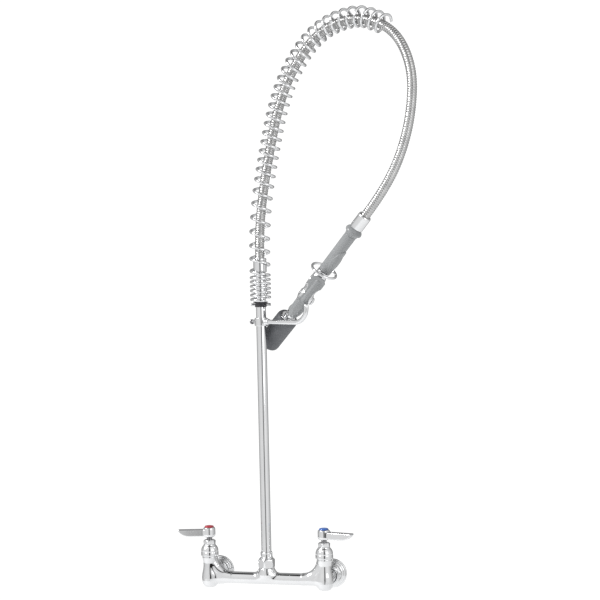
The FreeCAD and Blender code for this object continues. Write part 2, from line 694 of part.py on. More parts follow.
def valve_axes():
    heading, pitch, roll = (math.radians(DIMENSIONS[name])
                            for name in ("valve_heading", "valve_pitch", "valve_roll"))
    ahead = V(math.cos(heading) * math.cos(pitch), math.sin(heading) * math.cos(pitch),
              -math.sin(pitch))
    upright = (V(0, 0, 1) - ahead * ahead.z).normalize()
    aside = ahead.cross(upright)
    lever_side = upright * math.cos(roll) + aside * math.sin(roll)
    return lever_side, ahead.cross(lever_side), ahead


LEVER_SIDE, ACROSS, AHEAD = valve_axes()
VALVE = FreeCAD.Rotation(LEVER_SIDE, ACROSS, AHEAD, "ZXY")


def in_valve(thing, lift=0.0, across=0.0, ahead=0.0, local=None):
    """Place an object at a spot of the valve's own frame."""
    base = [D["valve_x"], D["valve_y"], D["valve_z"]]
    for amount, way in ((lift, LEVER_SIDE), (across, ACROSS), (ahead, AHEAD)):
        base = [part + Size.of(amount) * number for part, number in zip(base, way)]
    rotation = VALVE.multiply(local) if local else VALVE
    return place(thing, *base, rotation)


LIFTWARDS = turn_to(V(1, 0, 0), V(0, 0, -1))
CROSSWAYS = turn_to(V(0, 1, 0))
HEAD_TILT = math.radians(DIMENSIONS["head_tilt"])
HEADWARDS = turn_to(V(-math.sin(HEAD_TILT), 0, math.cos(HEAD_TILT)))


def in_head(thing, along=0.0):
    """Place an object on the spray head's axis, measured from the head's near end."""
    along = Size.of(along)
    return in_valve(thing, -D["head_drop"] - along * math.sin(HEAD_TILT), 0,
                    D["head_place"] + along * math.cos(HEAD_TILT), HEADWARDS)


def handle():
    radius, length = D["ferrule_radius"], D["ferrule_length"]
    water, bore = D["water_tube_radius"], D["hose_bore"]
    keep("valve_ferrule", in_valve(turned([
        (bore, -length), (radius - 1.2, -length), (radius, -length + 1.2), (radius, -0.6),
        (radius - 0.6, 0), (water + 1.8, 0), (water + 1.8, -12), (bore, -12)])))
    keep("valve_washer", in_valve(tube(water + 1.6, bore, -12, -10)))
    start, collar = D["grip_start"], D["collar_radius"]
    keep("handle_collar", in_valve(turned([
        (water + 0.1, 0.2), (collar - 4.6, 0.2), (collar - 0.6, 5.0),
        (collar - 0.6, 9.4, 0.7), (D["grip_radius"] + 0.3, start - 3.0),
        (D["grip_radius"] + 0.3, start), (water + 0.1, start)])))
    grip, end = D["grip_radius"], D["grip_end"]
    sleeve = turned([(0, start), (grip, start), (grip, end - 1.5, 0.3), (grip - 1.5, end),
                     (0, end)])
    swell = doc.addObject("Part::Ellipsoid", "swell")
    bind(swell, Radius1=24.8, Radius2=10.7, Radius3=10.4)
    place(swell, 1.8, -3.4, 69.5)
    hole = cylinder(water + 0.1, end - start, 0, 0, start)
    keep("handle_grip", in_valve(cut(fuse(sleeve, swell), hole)))
    keep("water_tube", in_valve(tube(water, water - 1.7, -10, D["body_start"] + 5)))
    ring = doc.addObject("Part::Torus", "ring")
    bind(ring, Radius1=D["ring_radius"], Radius2=D["ring_wire"])
    tilt = FreeCAD.Rotation(V(1, 0, 0), DIMENSIONS["ring_tilt"])
    keep("hold_ring", in_valve(ring, 0, 0, D["ring_place"], tilt))


def valve_body():
    low, high, water = D["body_start"], D["body_end"], D["water_tube_radius"]
    plunger, pin, lift = D["plunger_place"], D["pin_place"], D["pin_height"]
    main = turned([
        (0, low), (10.6, low), (10.6, low + 10), (12.4, low + 14, 0.6), (12.4, low + 38, 0.8),
        (11.0, low + 42), (11.0, low + 47), (12.6, low + 49.5, 0.6), (12.6, low + 62, 0.8),
        (9.6, low + 69), (9.6, high), (0, high)])
    neck_start = 24.0
    neck = turned([(0, -neck_start), (8.8, -neck_start), (8.8, 0), (0, 0)])
    neck = place(neck, -D["head_drop"], 0, D["head_place"], HEADWARDS)
    shoulder = ball(10.2, -4.5, 0, high - 1.5)
    top = D["guide_top"]
    guide = place(turned([(0, 0), (6.2, 0), (6.2, top - 0.8), (5.4, top), (0, top)]),
                  0, 0, plunger, LIFTWARDS)
    side_boss = place(turned([(0, 0), (7.4, 0), (7.4, 12.6), (6.6, 13.4), (0, 13.4)]),
                      0, 0, low + 59, turn_to(V(0, -1, 0)))
    lug = box(lift + 2.7, 9.0, 9.0, 0, -4.5, pin - 4.5)
    inlet = cylinder(water + 0.1, 6, 0, 0, low)
    waterway = cylinder(water - 1.7, 95, 0, 0, low)
    chamber = cylinder(8.0, 30, 0, 0, plunger - 12)
    spring_pocket = place(cylinder(3.4, 10.0), -10.0, 0, plunger, LIFTWARDS)
    outlet = place(cylinder(4.6, neck_start + 14), -D["head_drop"] + 7, 0,
                   D["head_place"] - 33, HEADWARDS)
    guide_hole = place(cylinder(D["plunger_radius"] + 0.3, 20), 0, 0, plunger, LIFTWARDS)
    seal_groove = place(cylinder(4.5, 2.2), top - 3.4, 0, plunger, LIFTWARDS)
    cap_hole = place(cylinder(5.2, 10), 0, -4, low + 59, turn_to(V(0, -1, 0)))
    pin_hole = place(cylinder(D["pin_radius"] + 0.35, 12), lift, -6, pin, CROSSWAYS)
    keep("valve_body", in_valve(cut(
        fuse(main, neck, shoulder, guide, side_boss, lug),
        inlet, waterway, chamber, spring_pocket, outlet, guide_hole, seal_groove, cap_hole,
        pin_hole)))
    keep("side_cap", in_valve(turned([
        (0, 9.2), (5.1, 9.2), (5.1, 13.5), (7.0, 13.5), (7.0, 15.2, 0.6), (4.6, 17.0, 0.2),
        (2.0, 17.8), (0, 17.8)]), 0, 0, low + 59, turn_to(V(0, -1, 0))))


def plunger_parts():
    """Plunger under the lever, the seal round it and the spring that lifts it."""
    place_ahead, radius = D["plunger_place"], D["plunger_radius"]
    top = D["lever_height"] - D["lever_thickness"] / 2 - 1.0
    keep("plunger", in_valve(turned([
        (0, -1.0), (4.4, -1.0), (4.4, 1.4), (radius, 2.2), (radius, top - 0.8, 0.2), (1.0, top),
        (0, top)]),
        0, 0, place_ahead, LIFTWARDS))
    keep("plunger_seal", in_valve(tube(4.4, radius + 0.3, 9.05, 11.15), 0, 0, place_ahead,
                                  LIFTWARDS))
    spring, wire, pitch = 2.5, 0.35, 1.0
    coil = coiled_wire(lambda angle: V(spring * math.cos(angle), spring * math.sin(angle),
                                       pitch * angle / (2 * math.pi)), 8 * math.pi, wire)
    keep("plunger_spring", in_valve(coil, -1.0 - wire - 4 * pitch, 0, place_ahead, LIFTWARDS))


def squeeze_lever():
    """Pressed lever: shield-shaped paddle, narrow neck, and a nose hooked over the pin lug."""
    thick, pin, lift = D["lever_thickness"], D["pin_place"], D["lever_height"]
    start = D["ring_place"] + 4.8
    nose_end = pin + 9.0
    plan = [
        (-9.0, start), (9.0, start), (12.6, start + 5), (12.6, start + 17), (8.4, start + 24),
        (6.6, start + 30, -0.5), (6.8, start + 46, -0.6), (10.4, start + 58), (10.4, pin - 2),
        (5.5, nose_end, 1.6), (-5.5, nose_end), (-10.4, pin - 2), (-10.4, start + 58, -0.6),
        (-6.8, start + 46, -0.5), (-6.6, start + 30), (-8.4, start + 24), (-12.6, start + 17),
        (-12.6, start + 5)]
    blank = plate(plan, 80)
    half = thick / 2
    lip = lift + 1.6
    side = plate([
        (lip - half, start), (lift - half, start + 26), (lift - 1 - half, start + 48),
        (lift - 1 - half, pin + 6), (lift - 3 - half, nose_end + 1), (lift - 3 + half, nose_end + 1),
        (lift - 1 + half, pin + 4, 0.4), (lift - 1 + half, start + 48), (lift + half, start + 26),
        (lip + half, start)], 60)
    top_plate = common(side, place(blank, 0, 0, 0, turn_to(V(0, 0, 1), V(0, 1, 0))))
    cheeks = [box(9.0, 3.0, 15.5, lift - 10.7, across, pin - 9.0) for across in (-8.6, 5.6)]
    hole = place(cylinder(D["pin_radius"] + 0.03, 24), D["pin_height"], -12, pin, CROSSWAYS)
    keep("squeeze_lever", in_valve(cut(fuse(top_plate, *cheeks), hole)))
    keep("lever_pin", in_valve(cylinder(D["pin_radius"], 17.6), D["pin_height"], -8.8, pin,
                               CROSSWAYS))


def spray_head():
    radius, length, wall = D["head_radius"], D["head_length"], D["head_wall"]
    inner = radius - wall
    keep("head_adapter", in_head(turned([
        (4.6, 0), (13.4, 0), (13.4, 3.4), (inner - 0.6, 3.4), (inner - 0.6, 7.0), (4.6, 7.0)])))
    keep("spray_bumper", in_head(turned([
        (13.5, 0.6), (15.2, 0.6, 0.8), (radius, 6.5), (radius, length - 3, 0.6),
        (radius - 2, length), (inner, length), (inner, 3.2), (13.5, 3.2)])))
    nozzle = inner - 0.15
    face = length - 6.6
    keep("spray_nozzle", in_head(turned([
        (4.6, 7.2), (nozzle, 7.2), (nozzle, face), (nozzle - 2, face), (nozzle - 2, 10), (4.6, 10)])))
    plate_disc = turned([(0, face), (nozzle, face), (nozzle, face + 1.6), (nozzle - 1, face + 2.6),
                         (0, face + 2.6)])
    jets = []
    for count, circle, turn in ((8, 6.2, 0.0), (14, 11.4, 0.2)):
        for number in range(count):
            angle = turn + 2 * math.pi * number / count
            jets.append(cylinder(0.9, 6, circle * math.cos(angle), circle * math.sin(angle),
                                 face - 1))
    centre_hole = cylinder(1.6, 6, 0, 0, face - 1)
    keep("spray_face", in_head(cut(plate_disc, centre_hole, fuse(*jets))))
    keep("face_screw", in_head(turned([
        (0, face - 6), (1.55, face - 6), (1.55, face + 2.6), (3.4, face + 2.6),
        (3.4, face + 3.6, 0.3), (2.2, face + 4.4), (0, face + 4.4)])))


# ---------------------------------------------------------------------------------------

keep("mixing_body", mixing_body())
for name, side in (("hot", -1), ("cold", 1)):
    wall_side(name, side)
    tower_valve(name, side)
    lever_handle(name, side)
riser()
finger_hook()
spring_holder()
hose_fittings()
hose()
overhead_spring()
handle()
valve_body()
plunger_parts()
squeeze_lever()
spray_head()
doc.recompute()

for thing in doc.Objects:
    if set(thing.State) & {"Invalid", "Error"}:
        raise ValueError(f"{thing.Name} ({thing.Label}) failed: {thing.State}")
os.makedirs("parts", exist_ok=True)
for label, thing in nodes.items():
    if thing.Shape.isNull() or not thing.Shape.isValid():
        raise ValueError(f"{label} has no valid shape")
    thing.Shape.exportStep(f"parts/{label}.step")
print(len(nodes), "nodes written")
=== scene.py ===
import json
import math

import bmesh
import bpy
import numpy as np
from mathutils import Matrix, Vector


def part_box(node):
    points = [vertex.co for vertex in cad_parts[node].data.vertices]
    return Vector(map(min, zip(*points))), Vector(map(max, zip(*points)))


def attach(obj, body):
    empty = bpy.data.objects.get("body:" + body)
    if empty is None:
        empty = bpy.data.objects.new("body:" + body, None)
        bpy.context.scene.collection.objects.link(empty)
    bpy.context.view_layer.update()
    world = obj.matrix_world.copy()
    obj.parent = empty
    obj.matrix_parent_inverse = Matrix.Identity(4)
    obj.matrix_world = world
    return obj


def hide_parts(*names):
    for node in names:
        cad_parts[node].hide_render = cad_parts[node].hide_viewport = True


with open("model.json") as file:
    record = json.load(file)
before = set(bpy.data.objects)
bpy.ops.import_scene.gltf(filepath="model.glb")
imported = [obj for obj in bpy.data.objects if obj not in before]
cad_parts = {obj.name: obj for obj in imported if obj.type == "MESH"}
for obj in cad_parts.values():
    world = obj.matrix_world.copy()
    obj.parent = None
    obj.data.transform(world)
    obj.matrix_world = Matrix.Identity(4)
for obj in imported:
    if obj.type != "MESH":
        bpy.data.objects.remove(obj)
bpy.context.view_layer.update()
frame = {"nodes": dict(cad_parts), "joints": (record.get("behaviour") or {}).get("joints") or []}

MM = 0.001
JOINTS = {joint["name"]: joint for joint in frame["joints"]}

# ---------------------------------------------------------------------------------------
# Places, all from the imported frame. A place is a matrix from a piece's own millimetres to
# the row frame in metres.

def axes_at(origin, x_way, y_way, z_way):
    columns = [Vector(way).normalized() for way in (x_way, y_way, z_way)]
    return (Matrix.Translation(Vector(origin))
            @ Matrix(columns).transposed().to_4x4() @ Matrix.Scale(MM, 4))


def facing(origin, z_way, near_up=(0, 0, 1)):
    z_way = Vector(z_way).normalized()
    side = Vector(near_up)
    if abs(side.normalized().dot(z_way)) > 0.95:
        side = Vector((1, 0, 0))
    x_way = (side - z_way * side.dot(z_way)).normalized()
    return axes_at(origin, x_way, z_way.cross(x_way), z_way)


RISER_X, RISER_Y = JOINTS["riser_swivel"]["pos_m"][:2]
AHEAD = Vector(JOINTS["hold_ring_slide"]["axis"]).normalized()
ACROSS = Vector(JOINTS["lever_squeeze"]["axis"]).normalized()
LIFT = -Vector(JOINTS["plunger_push"]["axis"]).normalized()
PIN_LIFT, PIN_AHEAD = 0.015, 0.181
VALVE_START = Vector(JOINTS["lever_squeeze"]["pos_m"]) - LIFT * PIN_LIFT - AHEAD * PIN_AHEAD
VALVE = axes_at(VALVE_START, LIFT, ACROSS, AHEAD)
ON_RISER = Matrix.Translation((RISER_X, RISER_Y, 0)) @ Matrix.Scale(MM, 4)
SIDE_PORT = 154.6
HEAD_TILT = math.radians(12)
HEAD_WAY = AHEAD * math.cos(HEAD_TILT) - LIFT * math.sin(HEAD_TILT)
HEAD_ACROSS = HEAD_WAY.cross(LIFT).normalized()
NECK_END = (-12.0, 0, 208.0)
HEAD = axes_at(VALVE @ Vector(NECK_END), HEAD_ACROSS.cross(HEAD_WAY), HEAD_ACROSS, HEAD_WAY)

ARCH_HEADING = math.radians(-20)
ARCH = Vector((math.cos(ARCH_HEADING), math.sin(ARCH_HEADING), 0))
ARCH_SIDE = Vector((-ARCH.y, ARCH.x, 0))


def in_arch(reach, height, depth=0.0):
    return Vector((RISER_X, RISER_Y, height)) + ARCH * reach + ARCH_SIDE * depth


# ---------------------------------------------------------------------------------------
# Camera

def aim_camera():
    azimuth, elevation, roll = (math.radians(angle) for angle in (14.179, 1.651, -1.265))
    target, distance = Vector((0.06901, -0.06, 0.4758)), 2.5578
    back = Vector((math.sin(azimuth) * math.cos(elevation),
                   -math.cos(azimuth) * math.cos(elevation), math.sin(elevation)))
    right = (-back).cross(Vector((0, 0, 1))).normalized()
    up = right.cross(-back)
    across = right * math.cos(roll) + up * math.sin(roll)
    upward = up * math.cos(roll) - right * math.sin(roll)
    data = bpy.data.cameras.new("camera")
    data.lens, data.sensor_width = 90.7, 36
    data.clip_start, data.clip_end = 0.05, 60
    camera = bpy.data.objects.new("camera", data)
    bpy.context.scene.collection.objects.link(camera)
    camera.matrix_world = (Matrix.Translation(target + back * distance)
                           @ Matrix((across, upward, back)).transposed().to_4x4())
    bpy.context.scene.camera = camera


aim_camera()

# ---------------------------------------------------------------------------------------
# Materials

def node(tree, kind, inputs=None, **settings):
    made = tree.nodes.new(kind)
    for name, value in settings.items():
        setattr(made, name, value)
    for name, value in (inputs or {}).items():
        if isinstance(value, bpy.types.NodeSocket):
            tree.links.new(value, made.inputs[name])
        else:
            made.inputs[name].default_value = value
    return made


def noise(tree, place, scale, detail=4.0, roughness=0.55):
    return node(tree, "ShaderNodeTexNoise",
                {"Vector": place, "Scale": scale, "Detail": detail, "Roughness": roughness})


def spread(tree, value, low, high, start=0.3, end=0.7):
    made = node(tree, "ShaderNodeMapRange", {"Value": value, "From Min": start, "From Max": end,
                                             "To Min": low, "To Max": high})
    return made.outputs["Result"]


def mixed(tree, factor, first, second):
    """A colour between two; the node's colour sockets are its inputs 6 and 7."""
    made = node(tree, "ShaderNodeMix", data_type="RGBA")
    for socket, value in zip([made.inputs[0], made.inputs[6], made.inputs[7]],
                             [factor, first, second]):
        if isinstance(value, bpy.types.NodeSocket):
            tree.links.new(value, socket)
        else:
            socket.default_value = value
    return made.outputs[2]


def material(name, light, dark, rough, metallic=0.0, patch=22.0, grain=900.0, bump=0.00002,
             stretch=(1, 1, 1), coat=0.0, specks=0.0):
    """Colour drifting between two tones, a drifting roughness, and a fine relief.

    patch and grain are noise scales per metre; bump is the relief's height in metres.
    specks is the strength of small darker dots.
    """
    made = bpy.data.materials.new(name)
    made.use_nodes = True
    tree = made.node_tree
    tree.nodes.clear()
    spot = node(tree, "ShaderNodeTexCoord").outputs["Object"]
    stretched = node(tree, "ShaderNodeMapping", {"Vector": spot, "Scale": stretch}).outputs[0]
    broad = noise(tree, spot, patch).outputs["Fac"]
    fine = noise(tree, stretched, grain, 3.0).outputs["Fac"]
    colour = mixed(tree, spread(tree, broad, 0, 1), (*dark, 1), (*light, 1))
    if specks:
        dots = noise(tree, spot, grain * 1.7, 2.0).outputs["Fac"]
        colour = mixed(tree, spread(tree, dots, specks, 0, 0.34, 0.42), colour,
                       (*[value * 0.55 for value in dark], 1))
    smudge = noise(tree, spot, patch * 2.3, 5.0, 0.65).outputs["Fac"]
    roughness = spread(tree, smudge, rough[0], rough[1])
    relief = node(tree, "ShaderNodeBump", {"Height": fine, "Strength": 1.0, "Distance": bump})
    shader = node(tree, "ShaderNodeBsdfPrincipled",
                  {"Base Color": colour, "Roughness": roughness, "Metallic": metallic,
                   "Normal": relief.outputs["Normal"], "Coat Weight": coat})
    if coat:
        shader.inputs["Coat Roughness"].default_value = 0.08
    output = node(tree, "ShaderNodeOutputMaterial")
    tree.links.new(shader.outputs[0], output.inputs[0])
    return made


CHROME = material("chrome_plate", (0.80, 0.805, 0.81), (0.74, 0.745, 0.755), (0.03, 0.10), 1.0,
                  patch=14, grain=260, bump=0.000012)
SATIN = material("satin_steel", (0.74, 0.74, 0.75), (0.60, 0.60, 0.62), (0.20, 0.34), 1.0,
                 patch=30, grain=1500, bump=0.00002, stretch=(1, 1, 0.05))
SPRING = material("spring_wire", (0.80, 0.805, 0.81), (0.70, 0.705, 0.715), (0.05, 0.14), 1.0,
                  patch=40, grain=1100, bump=0.00001)
HOSE = material("wound_steel", (0.58, 0.58, 0.575), (0.42, 0.42, 0.42), (0.18, 0.32), 1.0,
                patch=60, grain=1300, bump=0.00002)
# Painted shade: this near-black colour stands in for the dark reflection and shade seen on the
# spring holder under the spring's end.
PAINTED_SHADE_SLEEVE = material("painted_shade_sleeve", (0.055, 0.055, 0.06), (0.03, 0.03, 0.033), (0.35, 0.5), 0.3,
                patch=60, grain=900, bump=0.00003)
CLAMP = material("clamp_steel", (0.36, 0.36, 0.37), (0.24, 0.24, 0.25), (0.10, 0.22), 1.0,
                 patch=45, grain=700, bump=0.00002)
BRASS = material("machined_brass", (0.80, 0.63, 0.33), (0.66, 0.50, 0.25), (0.2, 0.35), 1.0,
                 patch=50, grain=1400, bump=0.00002)
GREY = material("moulded_grey", (0.37, 0.38, 0.385), (0.32, 0.33, 0.335), (0.22, 0.32),
                patch=35, grain=1400, bump=0.000005, specks=0.03)
BUMPER = material("bumper_rubber", (0.135, 0.14, 0.15), (0.105, 0.11, 0.12), (0.48, 0.62),
                  patch=28, grain=1400, bump=0.000008, specks=0.04)
BLACK = material("seal_rubber", (0.03, 0.03, 0.03), (0.015, 0.015, 0.015), (0.5, 0.65),
                 patch=50, grain=2000, bump=0.00003)
DARK = material("dark_moulding", (0.06, 0.06, 0.065), (0.04, 0.04, 0.045), (0.35, 0.5),
                patch=40, grain=2200, bump=0.00003)
RED = material("red_button", (0.62, 0.03, 0.06), (0.46, 0.02, 0.04), (0.16, 0.28),
               patch=90, grain=1800, bump=0.00001, coat=0.6)
BLUE = material("blue_button", (0.05, 0.20, 0.68), (0.03, 0.13, 0.52), (0.16, 0.28),
                patch=90, grain=1800, bump=0.00001, coat=0.6)

# ---------------------------------------------------------------------------------------
# Meshes

def piece(name, points, faces, place, body, looks, replaces=(), sharp=35):
    """A finished piece: points are in the place's own millimetres."""
    matrix = np.array(place)
    points = np.asarray(points, float) @ matrix[:3, :3].T + matrix[:3, 3]
    mesh = bpy.data.meshes.new(name)
    mesh.from_pydata(points.tolist(), [], [tuple(int(i) for i in face) for face in faces])
    mesh.validate()
    shell = bmesh.new()
    shell.from_mesh(mesh)
    bmesh.ops.recalc_face_normals(shell, faces=shell.faces)
    shell.to_mesh(mesh)
    shell.free()
    mesh.polygons.foreach_set("use_smooth", [True] * len(mesh.polygons))
    mesh.set_sharp_from_angle(angle=math.radians(sharp))
    mesh.materials.append(looks)
    made = bpy.data.objects.new(name, mesh)
    bpy.context.scene.collection.objects.link(made)
    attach(made, body)
    if replaces:
        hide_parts(*replaces)
    return made


def rounded(profile, radius, steps=4):
    """The open profile with its corners eased; a third number is that corner's own radius."""
    points = [profile[0][:2]]
    for before, corner, after in zip(profile, profile[1:], profile[2:]):
        size = corner[2] if len(corner) > 2 else radius
        a, c, b = (np.array(point[:2], float) for point in (before, corner, after))
        back, ahead = a - c, b - c
        reach = min(size, 0.48 * np.linalg.norm(back), 0.48 * np.linalg.norm(ahead))
        if reach < 1e-4:
            points.append(tuple(c))
            continue
        enter = c + back / np.linalg.norm(back) * reach
        leave = c + ahead / np.linalg.norm(ahead) * reach
        for step in range(steps + 1):
            t = step / steps
            points.append(tuple(enter * (1 - t) ** 2 + c * (2 * t * (1 - t)) + leave * t * t))
    points.append(profile[-1][:2])
    return points


def lathe(profile, turns=72, ripple=None):
    """Points and faces of a solid of revolution from (radius, height) points.

    ripple(radius, height, angle) gives the radius where the section isn't round.
    """
    rings = len(profile)
    angles = [2 * math.pi * number / turns for number in range(turns)]
    points, faces = [], []
    for angle in angles:
        for radius, height in profile:
            wide = radius if ripple is None else ripple(radius, height, angle)
            points.append((wide * math.cos(angle), wide * math.sin(angle), height))
    for number in range(turns):
        here, there = number * rings, (number + 1) % turns * rings
        for ring in range(rings - 1):
            faces.append((here + ring, there + ring, there + ring + 1, here + ring + 1))
    return merged(points, faces)


def merged(points, faces):
    """Join the points that coincide and drop the faces that collapse."""
    keys, index, kept = {}, [], []
    for point in points:
        key = tuple(round(value, 5) for value in point)
        if key not in keys:
            keys[key] = len(kept)
            kept.append(point)
        index.append(keys[key])
    result = []
    for face in faces:
        corners = []
        for corner in face:
            if index[corner] not in corners:
                corners.append(index[corner])
        if len(corners) > 2:
            result.append(corners)
    return kept, result


def turned(name, profile, place, body, looks, replaces=(), ease=0.4, turns=72,
           ripple=None):
    points, faces = lathe(rounded(profile, ease), turns, ripple)
    return piece(name, points, faces, place, body, looks, replaces)


def hexed(flats, top, bottom, chamfer=1.6):
    """A ripple for lathe that makes a hexagon with chamfered ends."""
    def ripple(radius, height, angle):
        if radius < flats / 2 - 0.01:
            return radius
        local = (angle + math.pi / 6) % (math.pi / 3) - math.pi / 6
        flat = flats / 2 / math.cos(local)
        end = min(top - height, height - bottom)
        limit = flats / 2 + chamfer * max(0.0, end) ** 0.7
        cut_corner = flats / 2 * 1.125
        return min(flat, limit, cut_corner)
    return ripple


def along_curve(points):
    """Distances and directions along a polyline given as an array."""
    steps = np.linalg.norm(np.diff(points, axis=0), axis=1)
    distance = np.concatenate([[0], np.cumsum(steps)])
    ways = np.gradient(points, distance, axis=0)
    return distance, ways / np.linalg.norm(ways, axis=1)[:, None]


def ring_tube(centres, ways, sides, radii, around):
    """A tube with a ring at each centre; radii is an array (rings, around)."""
    sides = np.cross(np.cross(ways, sides), ways)
    sides /= np.linalg.norm(sides, axis=1)[:, None]
    others = np.cross(ways, sides)
    angles = np.linspace(0, 2 * math.pi, around, endpoint=False)
    points = (centres[:, None] + radii[..., None] * (
        np.cos(angles)[None, :, None] * sides[:, None]
        + np.sin(angles)[None, :, None] * others[:, None]))
    count = len(centres)
    faces = []
    for ring in range(count - 1):
        for number in range(around):
            after = (number + 1) % around
            faces.append((ring * around + number, ring * around + after,
                          (ring + 1) * around + after, (ring + 1) * around + number))
    faces.append(tuple(range(around))[::-1])
    faces.append(tuple((count - 1) * around + number for number in range(around)))
    return points.reshape(-1, 3), faces


def path_of(points, name):
    """The points of the NURBS curve through a route's control points."""
    curve = bpy.data.curves.new(name, "CURVE")
    curve.dimensions = "3D"
    curve.resolution_u = 24
    spline = curve.splines.new("NURBS")
    spline.points.add(len(points) - 1)
    for target, point in zip(spline.points, points):
        target.co = (*point, 1)
    spline.order_u = 3
    spline.use_endpoint_u = True
    guide = bpy.data.objects.new(name, curve)
    bpy.context.scene.collection.objects.link(guide)
    bpy.context.view_layer.update()
    mesh = bpy.data.meshes.new_from_object(guide)
    line = np.array([vertex.co for vertex in mesh.vertices])
    bpy.data.objects.remove(guide)
    bpy.data.meshes.remove(mesh)
    return line


def resampled(line, step):
    """Distances, positions and directions at even steps along a line."""
    distance = along_curve(line)[0]
    count = int(distance[-1] / step)
    wanted = np.linspace(0, distance[-1], count + 1)
    centres = np.stack([np.interp(wanted, distance, line[:, k]) for k in range(3)], 1)
    return wanted, centres, along_curve(centres)[1]


# ---------------------------------------------------------------------------------------
# The hose, wound from steel strip, and the overhead spring. Their routes are control points
# in the arch's plane: reach, height and sometimes depth, in metres.

HOSE_ROUTE = [
    (0, 0.5484, 0), (0, 0.590, 0), (0.009, 0.655, 0), (0.025, 0.726, 0), (0.045, 0.800, 0),
    (0.075, 0.862, 0), (0.130, 0.920, 0), (0.202, 0.937, 0), (0.273, 0.911, 0),
    (0.306, 0.846, 0.001), (0.300, 0.769, 0.003), (0.275, 0.699, 0.005), (0.237, 0.644, 0.007),
    (0.2084, 0.6139, 0.0076),
]


RIB_PITCH, RIB_ROOT, RIB_HEIGHT = 0.0040, 0.00718, 0.00082


def spray_hose():
    line = path_of([in_arch(*point) for point in HOSE_ROUTE], "hose_guide")
    around = 28
    distance, centres, ways = resampled(line, RIB_PITCH / 10)
    angles = np.linspace(0, 2 * math.pi, around, endpoint=False)
    phase = (distance[:, None] / RIB_PITCH + angles[None] / (2 * math.pi)) % 1.0
    crown = np.clip(1.22 - np.abs(phase - 0.5) / 0.40, 0, 1) ** 0.5
    radii = RIB_ROOT + RIB_HEIGHT * crown
    sides = np.tile(np.array(ARCH_SIDE), (len(centres), 1))
    points, faces = ring_tube(centres, ways, sides, radii, around)
    hose = piece("spray_hose_wound", points, faces, Matrix.Identity(4), "riser",
                 HOSE, ["spray_hose"], sharp=60)


spray_hose()

SPRING_ROUTE = [
    (0, 0.4752), (0, 0.510), (0, 0.545), (0.0005, 0.590), (0.008, 0.655), (0.024, 0.726),
    (0.0435, 0.800), (0.073, 0.863), (0.1285, 0.922), (0.202, 0.940), (0.246, 0.9235),
    (0.257, 0.9175),
]
# The distance along the spring's route and the pitch there, both in millimetres.
SPRING_PITCH = [
    (0, 7.5), (44, 7.5), (48, 20), (107, 23.5), (137, 24.2), (182, 21.2), (212, 17), (232, 15.5),
    (603, 15.3), (617, 5.6), (700, 5.6),
]
COIL_RADIUS, WIRE_RADIUS = 0.0158, 0.0023
COIL_START = math.radians(20)
COIL_STEPS, WIRE_SIDES = 30, 12


def overhead_spring():
    line = path_of([in_arch(*point) for point in SPRING_ROUTE], "spring_guide")
    distance, centres, ways = resampled(line, 0.0002)
    places, pitches = zip(*SPRING_PITCH)
    middle = (distance[1:] + distance[:-1]) / 2
    pitch = np.interp(middle, np.array(places) * MM, pitches) * MM
    turned_so_far = np.concatenate([[0], np.cumsum(2 * math.pi * np.diff(distance) / pitch)])
    count = int(turned_so_far[-1] / (2 * math.pi) * COIL_STEPS)
    angle = np.linspace(0, turned_so_far[-1], count + 1)
    spot = np.interp(angle, turned_so_far, distance)
    centre = np.stack([np.interp(spot, distance, centres[:, k]) for k in range(3)], 1)
    ahead = np.stack([np.interp(spot, distance, ways[:, k]) for k in range(3)], 1)
    side = np.array(ARCH_SIDE)
    outward = np.cross(side, ahead)
    outward /= np.linalg.norm(outward, axis=1)[:, None]
    wire = centre + COIL_RADIUS * (outward * np.cos(angle + COIL_START)[:, None]
                                   - side * np.sin(angle + COIL_START)[:, None])
    wire_ways = along_curve(wire)[1]
    radii = np.full((len(wire), WIRE_SIDES), WIRE_RADIUS)
    radii[[0, -1]] *= 0.72
    points, faces = ring_tube(wire, wire_ways, ahead, radii, WIRE_SIDES)
    piece("overhead_spring_coil", points, faces, Matrix.Identity(4), "riser",
          SPRING, ["overhead_spring"], sharp=60)


overhead_spring()

# ---------------------------------------------------------------------------------------
# Smooth cast and moulded shapes: a distance field in the piece's own millimetres, meshed on
# a grid and then drawn onto the field's zero. k is the width of a blend.

def soft_max(a, b, k):
    h = np.clip(0.5 + 0.5 * (a - b) / k, 0, 1)
    return b + (a - b) * h + k * h * (1 - h)


def soft_min(a, b, k):
    return -soft_max(-a, -b, k)


def joined(k, *fields):
    result = fields[0]
    for field in fields[1:]:
        result = soft_min(result, field, k)
    return result


def rod(p, a, b, start_radius, end_radius):
    """A round-ended rod, tapering from one radius to the other."""
    a, b = np.array(a, float), np.array(b, float)
    t = np.clip((p - a) @ (b - a) / ((b - a) @ (b - a)), 0, 1)
    return np.linalg.norm(p - a - t[:, None] * (b - a), axis=1) - (
        start_radius + (end_radius - start_radius) * t)


def drum(p, a, b, radius, edge=0.8):
    """A flat-ended cylinder with eased rims."""
    a, b = np.array(a, float), np.array(b, float)
    length = np.linalg.norm(b - a)
    way = (b - a) / length
    t = (p - a) @ way
    away = np.linalg.norm(p - a - t[:, None] * way, axis=1)
    x = away - (radius - edge)
    y = np.abs(t - length / 2) - (length / 2 - edge)
    return (np.minimum(np.maximum(x, y), 0) + np.hypot(np.maximum(x, 0), np.maximum(y, 0))
            - edge)


def slab(p, centre, half, edge=0.8):
    """A box with eased edges, given by its centre and half sizes."""
    q = np.abs(p - np.array(centre, float)) - (np.array(half, float) - edge)
    return (np.linalg.norm(np.maximum(q, 0), axis=1) + np.minimum(q.max(axis=1), 0) - edge)


def egg(p, centre, radii):
    """An ellipsoid; near its surface the value is close to a distance."""
    radii = np.array(radii, float)
    q = (p - np.array(centre, float)) / radii
    size = np.linalg.norm(q, axis=1)
    slope = np.linalg.norm(q / radii, axis=1)
    return size * (size - 1) / np.maximum(slope, 1e-9)


